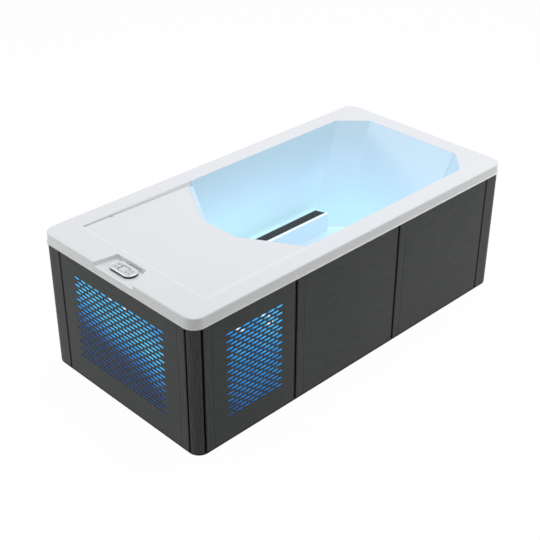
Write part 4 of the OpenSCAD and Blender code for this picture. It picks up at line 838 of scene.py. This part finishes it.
class TUB_OT_keypad(bpy.types.Operator):
    """Model the keypad: plate, screen frame, screen and its eight keys"""

    bl_idname = "tub.keypad"
    bl_label = "Keypad"

    def execute(self, context):
        low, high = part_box("keypad_body")
        top = high.z
        cx, cy = (low.x + high.x) / 2, (low.y + high.y) / 2
        hx, hy = (high.x - low.x) / 2, (high.y - low.y) / 2
        plate_z = POCKET_Z + 0.0015
        plate = slab("keypad_plate", (cx, cy), (hx, hy), plate_z, top)
        round_edges(plate, PLATE_ROUND, 14, upright)
        choose_faces(plate, lambda c, n: n.z > 0.9)
        bpy.ops.mesh.inset(thickness=BEZEL)
        bpy.ops.mesh.extrude_region_move(TRANSFORM_OT_translate={"value": (0, 0, 0)})
        bpy.ops.object.mode_set(mode="OBJECT")
        round_edges(plate, 0.0016, 3, lambda a, b: min(a.z, b.z) > top - 0.0001
                    and max(abs(a.x - cx), abs(a.y - cy) - hy + hx) > hx - 0.022)
        add_to(plate, slab("case", (cx, cy), (CASE_HX, CASE_HY), low.z, plate_z + 0.004))
        # Sunk field round the screen, holes for the keys
        cut(plate, slab("window", (cx, cy), (WINDOW_H, WINDOW_H), top - WINDOW_DEEP, top + 0.01))
        spots = [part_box(f"button_{i}") for i in range(1, 9)]
        for a, b in spots:
            at = ((a.x + b.x) / 2, (a.y + b.y) / 2, top - 0.008)
            cut(plate, drum("hole", KEY_HOLE_R, 0.03, at, sides=32))
        soften(plate, 35)
        silver = Finish("keypad_silver", Roughness=0.3, Metallic=0.1, Coat_Weight=0.3)
        at = silver.axes()
        inner = []
        for place, middle, half in ((at["X"], cx, hx - 0.0065), (at["Y"], cy, hy - 0.008)):
            away = silver.math("ABSOLUTE", silver.math("SUBTRACT", place, middle))
            inner.append(silver.math("SUBTRACT", half, away))
        # Painted highlight: the border of the plate's top is painted near white, the field inside it light
        # grey
        field = silver.span(silver.math("MINIMUM", *inner), -0.0008, 0.0008)
        silver.to_shader(silver.blend(field, tone(244, 246, 249), tone(210, 213, 217)), "Base Color")
        silver.bump(silver.noise(1500, detail=1.0), 0.08, 0.0002)
        paint(plate, silver.material, moulded("keypad_side", tone(40, 42, 44), 0.45))
        choose_faces(plate, lambda c, n: abs(n.z) < 0.3 and c.z < top - 0.0017
                     and max(abs(c.x - cx) - hx, abs(c.y - cy) - hy) > -0.03)
        plate.active_material_index = 1
        bpy.ops.object.material_slot_assign()
        bpy.ops.object.mode_set(mode="OBJECT")
        fit(plate, "tub", "keypad_plate", "keypad_body")
        # Screen in its dark frame
        surround = slab("screen_frame", (cx, cy), (FRAME_H, FRAME_H), top - 0.0021, top - 0.0006)
        cut(surround, slab("inner", (cx, cy), (FRAME_IN, FRAME_IN), top - 0.01, top + 0.01))
        round_edges(surround, 0.0004, 2, lambda a, b: True)
        paint(surround, moulded("screen_frame_black", tone(88, 90, 93), 0.35))
        fit(surround, "tub", "screen_glass")
        glass = slab("screen_window", (cx, cy), (SCREEN_H, SCREEN_H), top - 0.0021, top - 0.0010)
        round_edges(glass, 0.0006, 2, above(top - 0.0012))
        soften(glass)
        pane = Finish("screen_glass", Roughness=0.12, IOR=1.5, Coat_Weight=0.6, Coat_Roughness=0.05)
        pane.to_shader(pane.blend(pane.noise(60), tone(214, 219, 224), tone(226, 230, 234)), "Base Color")
        paint(glass, pane.material)
        fit(glass, "tub", "screen_glass", "keypad_screen")
        # One key, then its eight copies
        low_z, high_z = spots[0][0].z, spots[0][1].z
        first = drum("key_pattern", KEY_R, high_z - low_z - FLANGE_H, (0, 0, low_z + FLANGE_H), sides=32)
        round_edges(first, 0.0012, 3, above(high_z - 0.0001))
        add_to(first, drum("flange", FLANGE_R, FLANGE_H, (0, 0, low_z), sides=32))
        soften(first)
        paint(first, moulded("key_grey", tone(172, 176, 182), 0.45))
        for i, (a, b) in enumerate(spots, 1):
            key = first.copy()
            key.data = first.data.copy()
            key.name = f"key_cap_{i}"
            context.scene.collection.objects.link(key)
            key.location = ((a.x + b.x) / 2, (a.y + b.y) / 2, 0)
            settle(key)
            fit(key, f"key_{i}", "keypad_keys", f"button_{i}")
        bpy.data.objects.remove(first)
        return {"FINISHED"}


class TUB_OT_grille(bpy.types.Operator):
    """Model the ribbed intake grille on the ledge"""

    bl_idname = "tub.grille"
    bl_label = "Intake grille"

    def execute(self, context):
        low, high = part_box("intake_grille")
        ribs = context.scene.tub_sizes.grille_ribs
        y0, y1, z1 = low.y, high.y, high.z
        plan = [(low.x, y0), (high.x, y0), (high.x - GRILLE_SKEW, y1), (low.x, y1)]
        strip = prism("intake_grille_ribs", plan, low.z, z1)
        round_edges(strip, 0.0012, 2, above(z1 - 0.0001))
        edge = 0.005
        pitch = (y1 - y0 - 2 * edge) / ribs
        for i in range(ribs):
            y = y0 + edge + pitch * (i + 0.2)
            end = high.x - 0.012 - GRILLE_SKEW * (y - y0) / (y1 - y0)
            cut(strip, block("gap", (low.x + 0.01, y, z1 - 0.0032), (end, y + pitch * 0.6, z1 + 0.01)))
        soften(strip)
        paint(strip, moulded("grille_grey", colour_of("grille"), 0.5))
        fit(strip, "tub", "grey_grille", "intake_grille")
        return {"FINISHED"}


class TUB_OT_cladding(bpy.types.Operator):
    """Model the corner posts and finish the panels with their grain"""

    bl_idname = "tub.cladding"
    bl_label = "Cladding"

    def execute(self, context):
        for name, sx, sy in (("post_front_bay", -1, -1), ("post_front_head", 1, -1),
                             ("post_rear_bay", -1, 1), ("post_rear_head", 1, 1)):
            low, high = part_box(name)
            outer = slab(name + "_cover", CENTRE, (CLAD_X, CLAD_Y), CLAD_Z, CLAD_TOP)
            round_edges(outer, POST_ROUND, CORNER_STEPS, upright)
            inner = slab("inner", CENTRE, (CLAD_X - POST_WALL, CLAD_Y - POST_WALL), 0, 1)
            round_edges(inner, POST_ROUND - POST_WALL, CORNER_STEPS, upright)
            cut(outer, inner)
            # What is left of the ring inside the post's own box, open to the outside
            spare = 0.05
            corner = ((low.x - spare if sx < 0 else low.x), (low.y - spare if sy < 0 else low.y), -0.1)
            across = ((high.x + spare if sx > 0 else high.x), (high.y + spare if sy > 0 else high.y), 1)
            join_with(outer, block("leg", corner, across), "INTERSECT")
            soften(outer, 25)
            paint(outer, grained(name + "_grain", 0, (-2, 2)))
            fit(outer, "tub", "charcoal_cladding", name)
        # Each panel with its axis and the end that has the stile
        for name, across, at_low in (
            ("end_vent_panel", 1, True), ("front_vent_panel", 0, True), ("front_mid_panel", 0, True),
            ("front_head_panel", 0, True), ("head_end_panel", 1, True), ("rear_vent_panel", 0, False),
            ("rear_mid_panel", 0, False), ("rear_head_panel", 0, False),
        ):
            low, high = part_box(name)
            a, b = low[across], high[across]
            stile = (a, a + STILE_W) if at_low else (b - STILE_W, b)
            paint(frame["nodes"][name], grained(name + "_grain", across, stile, (a, b)))
        return {"FINISHED"}


class TUB_OT_vent_light(bpy.types.Operator):
    """Finish the lit screens behind the vents and their light strips"""

    bl_idname = "tub.vent_light"
    bl_label = "Vent light"

    def execute(self, context):
        paint(frame["nodes"]["vent_screens"], vent_glow())
        strip = Finish("light_strip", Roughness=0.4)
        glow = strip.blend(strip.noise(30), tone(150, 220, 255), tone(225, 245, 255))
        strip.light_up(glow, glow, 1.0)
        paint(frame["nodes"]["led_strips"], strip.material)
        return {"FINISHED"}


class TUB_OT_base(bpy.types.Operator):
    """Finish the base pan, the frame, the battens, the supports and the insulation"""

    bl_idname = "tub.base"
    bl_label = "Base and frame"

    def execute(self, context):
        nodes = frame["nodes"]
        paint(nodes["base_pan"], moulded("pan_black", tone(22, 22, 23), 0.6))
        paint(nodes["panel_battens"], moulded("batten_black", tone(8, 8, 8), 0.95))
        steel = painted("frame_powder_coat", tone(74, 75, 78))
        for name in ("base_frame", "frame_uprights", "top_frame"):
            paint(nodes[name], steel)
        wood = Finish("support_timber", Roughness=0.6)
        values = {"Vector": wood.place((9, 1.2, 9)), "Scale": 6.0, "Distortion": 4.0, "Detail": 3.0}
        rings = wood.node("ShaderNodeTexWave", values).outputs["Fac"]
        wood.to_shader(wood.blend(rings, tone(186, 148, 104), tone(214, 182, 138)), "Base Color")
        wood.bump(rings, 0.2, 0.0006)
        paint(nodes["basin_supports"], wood.material)
        foam = Finish("foam_board", Roughness=0.9)
        cells = foam.node("ShaderNodeTexVoronoi", {"Vector": foam.place(), "Scale": 260.0})
        cells = cells.outputs["Distance"]
        foam.to_shader(foam.blend(cells, tone(206, 196, 158), tone(230, 222, 190)), "Base Color")
        foam.bump(cells, 0.5, 0.0012)
        paint(nodes["insulation_boards"], foam.material)
        return {"FINISHED"}


class TUB_OT_chiller(bpy.types.Operator):
    """Finish the chiller, the pump and the pipes in the bay"""

    bl_idname = "tub.chiller"
    bl_label = "Chiller and pump"

    def execute(self, context):
        nodes = frame["nodes"]
        black = moulded("fan_black", tone(30, 31, 32), 0.5)
        grey = moulded("pvc_grey", tone(128, 132, 136), 0.38)
        zinc = metal("zinc_sheet", tone(190, 192, 196), 0.42, (6, 6, 6), 8)
        copper = metal("drawn_copper", tone(204, 122, 78), 0.3)
        motor = painted("motor_black", tone(46, 48, 50))
        fins = Finish("coil_fins", Metallic=0.9, Roughness=0.4)
        # Painted shade: light and dark bands stand in for the fins and the shaded gaps between them
        pitch = 0.0014
        fins_and_gap_shade = fins.span(fins.math("PINGPONG", fins.axes()["Y"], pitch), 0.0, pitch)
        fins.to_shader(fins.blend(fins_and_gap_shade, tone(96, 100, 104), tone(206, 209, 212)), "Base Color")
        fins.bump(fins_and_gap_shade, 0.8, 0.0015)
        finishes = {
            "fan_shroud": black, "fan_rotor": black, "filter_lid": black, "pump_volute": black,
            "power_inlet": black, "fan_motor": motor, "compressor": motor,
            "pump_motor": painted("pump_blue", tone(34, 78, 140)),
            "heat_exchanger": grey, "filter_housing": grey, "water_pipes": grey,
            "equipment_tray": zinc, "control_box": zinc,
            "condenser_coil": fins.material, "refrigerant_pipes": copper,
            "drain_valve": moulded("valve_white", tone(222, 224, 226), 0.35),
            "valve_handle": painted("handle_red", tone(176, 28, 22)),
            "pump_impeller": moulded("impeller_ivory", tone(224, 220, 204), 0.4),
            "filter_cartridge": moulded("filter_fleece", tone(228, 230, 228), 0.9),
            "keypad_board": moulded("board_green", tone(22, 98, 58), 0.5),
            "keypad_gasket": moulded("gasket_black", tone(24, 24, 25), 0.6),
        }
        for name, finish in finishes.items():
            paint(nodes[name], finish)
        return {"FINISHED"}


class TUB_OT_fittings(bpy.types.Operator):
    """Finish the jets, the drain with its plug and the basin lamp"""

    bl_idname = "tub.fittings"
    bl_label = "Basin fittings"

    def execute(self, context):
        nodes = frame["nodes"]
        paint(nodes["return_jets"], moulded("jet_white", tone(222, 226, 230), 0.3))
        paint(nodes["drain_fitting"], metal("drain_steel", tone(196, 198, 202), 0.25))
        paint(nodes["drain_plug"], moulded("plug_grey", tone(90, 92, 96), 0.6))
        lamp = Finish("lamp_lens", Roughness=0.2, IOR=1.5)
        glow = lamp.blend(lamp.noise(40), tone(196, 244, 255), tone(240, 252, 255))
        lamp.light_up(glow, glow, 0.9)
        paint(nodes["basin_light"], lamp.material)
        return {"FINISHED"}


class TUB_OT_stage(bpy.types.Operator):
    """Lay the floor and set the lamps and the camera"""

    bl_idname = "tub.stage"
    bl_label = "Stage"

    def execute(self, context):
        scene = context.scene
        floor = start("studio_floor", bpy.ops.mesh.primitive_plane_add, size=60, location=(0, 0, 0))
        f = Finish("studio_floor", Roughness=0.9)
        f.to_shader(f.blend(f.noise(0.6), tone(196, 196, 196), tone(202, 202, 202)), "Base Color")
        white = f.node("ShaderNodeEmission", {"Color": WHITE, "Strength": FLOOR_LEVEL})
        share = f.math("MULTIPLY", backdrop_rays(f.tree), FLOOR_SHARE)
        mix = f.node("ShaderNodeMixShader", {"Fac": share, 1: f.shader.outputs["BSDF"],
                                             2: white.outputs["Emission"]})
        f.tree.links.new(mix.outputs["Shader"], f.tree.nodes["Material Output"].inputs["Surface"])
        paint(floor, f.material)
        # The world lights softly, and looks plain white to the camera, in reflections and through glass
        world = bpy.data.worlds.new("studio")
        scene.world = world
        world.use_nodes = True
        tree = world.node_tree
        back = tree.nodes["Background"]
        back.inputs["Color"].default_value = WHITE
        back.inputs["Strength"].default_value = WORLD_LEVEL
        plain = add_node(tree, "ShaderNodeBackground", {"Color": WHITE, "Strength": 1.0})
        pick = add_node(tree, "ShaderNodeMixShader", {
            "Fac": backdrop_rays(tree), 1: back.outputs["Background"], 2: plain.outputs["Background"]})
        tree.links.new(pick.outputs["Shader"], tree.nodes["World Output"].inputs["Surface"])
        for name, place, aim, size, power in LAMPS:
            lamp = start(name, bpy.ops.object.light_add, type="AREA", location=place)
            lamp.data.size = size
            lamp.data.energy = power
            lamp.rotation_euler = (Vector(aim) - Vector(place)).to_track_quat("-Z", "Y").to_euler()
        camera = start("photo_camera", bpy.ops.object.camera_add)
        camera.data.lens = LENS
        camera.data.sensor_width = SENSOR
        pose = Matrix.Translation(CAMERA_AT)
        for degrees, axis in CAMERA_TURNS:
            pose = pose @ Matrix.Rotation(math.radians(degrees), 4, axis)
        camera.matrix_world = pose
        scene.camera = camera
        scene.view_settings.view_transform = "Standard"
        return {"FINISHED"}


class TUB_PT_panel(bpy.types.Panel):
    """The tub's settings and steps in the sidebar."""

    bl_idname = "TUB_PT_panel"
    bl_label = "Cold plunge tub"
    bl_space_type = "VIEW_3D"
    bl_region_type = "UI"
    bl_category = "Tub"

    def draw(self, context):
        for group in (context.scene.tub_sizes, context.scene.tub_colours):
            for name in group.__annotations__:
                self.layout.prop(group, name)
        for step in STEPS:
            self.layout.operator(step.bl_idname)


STEPS = (TUB_OT_shell, TUB_OT_deck, TUB_OT_keypad, TUB_OT_grille, TUB_OT_cladding, TUB_OT_vent_light,
         TUB_OT_base, TUB_OT_chiller, TUB_OT_fittings, TUB_OT_stage)
CLASSES = (TubSizes, TubColours, *STEPS, TUB_PT_panel)


def register():
    for c in CLASSES:
        bpy.utils.register_class(c)
    bpy.types.Scene.tub_sizes = bpy.props.PointerProperty(type=TubSizes)
    bpy.types.Scene.tub_colours = bpy.props.PointerProperty(type=TubColours)


def unregister():
    del bpy.types.Scene.tub_sizes, bpy.types.Scene.tub_colours
    for c in reversed(CLASSES):
        bpy.utils.unregister_class(c)


def main():
    """Builds the tub step by step."""
    register()
    for step in STEPS:
        group, name = step.bl_idname.split(".")
        getattr(getattr(bpy.ops, group), name)()


if __name__ == "__main__":
    main()
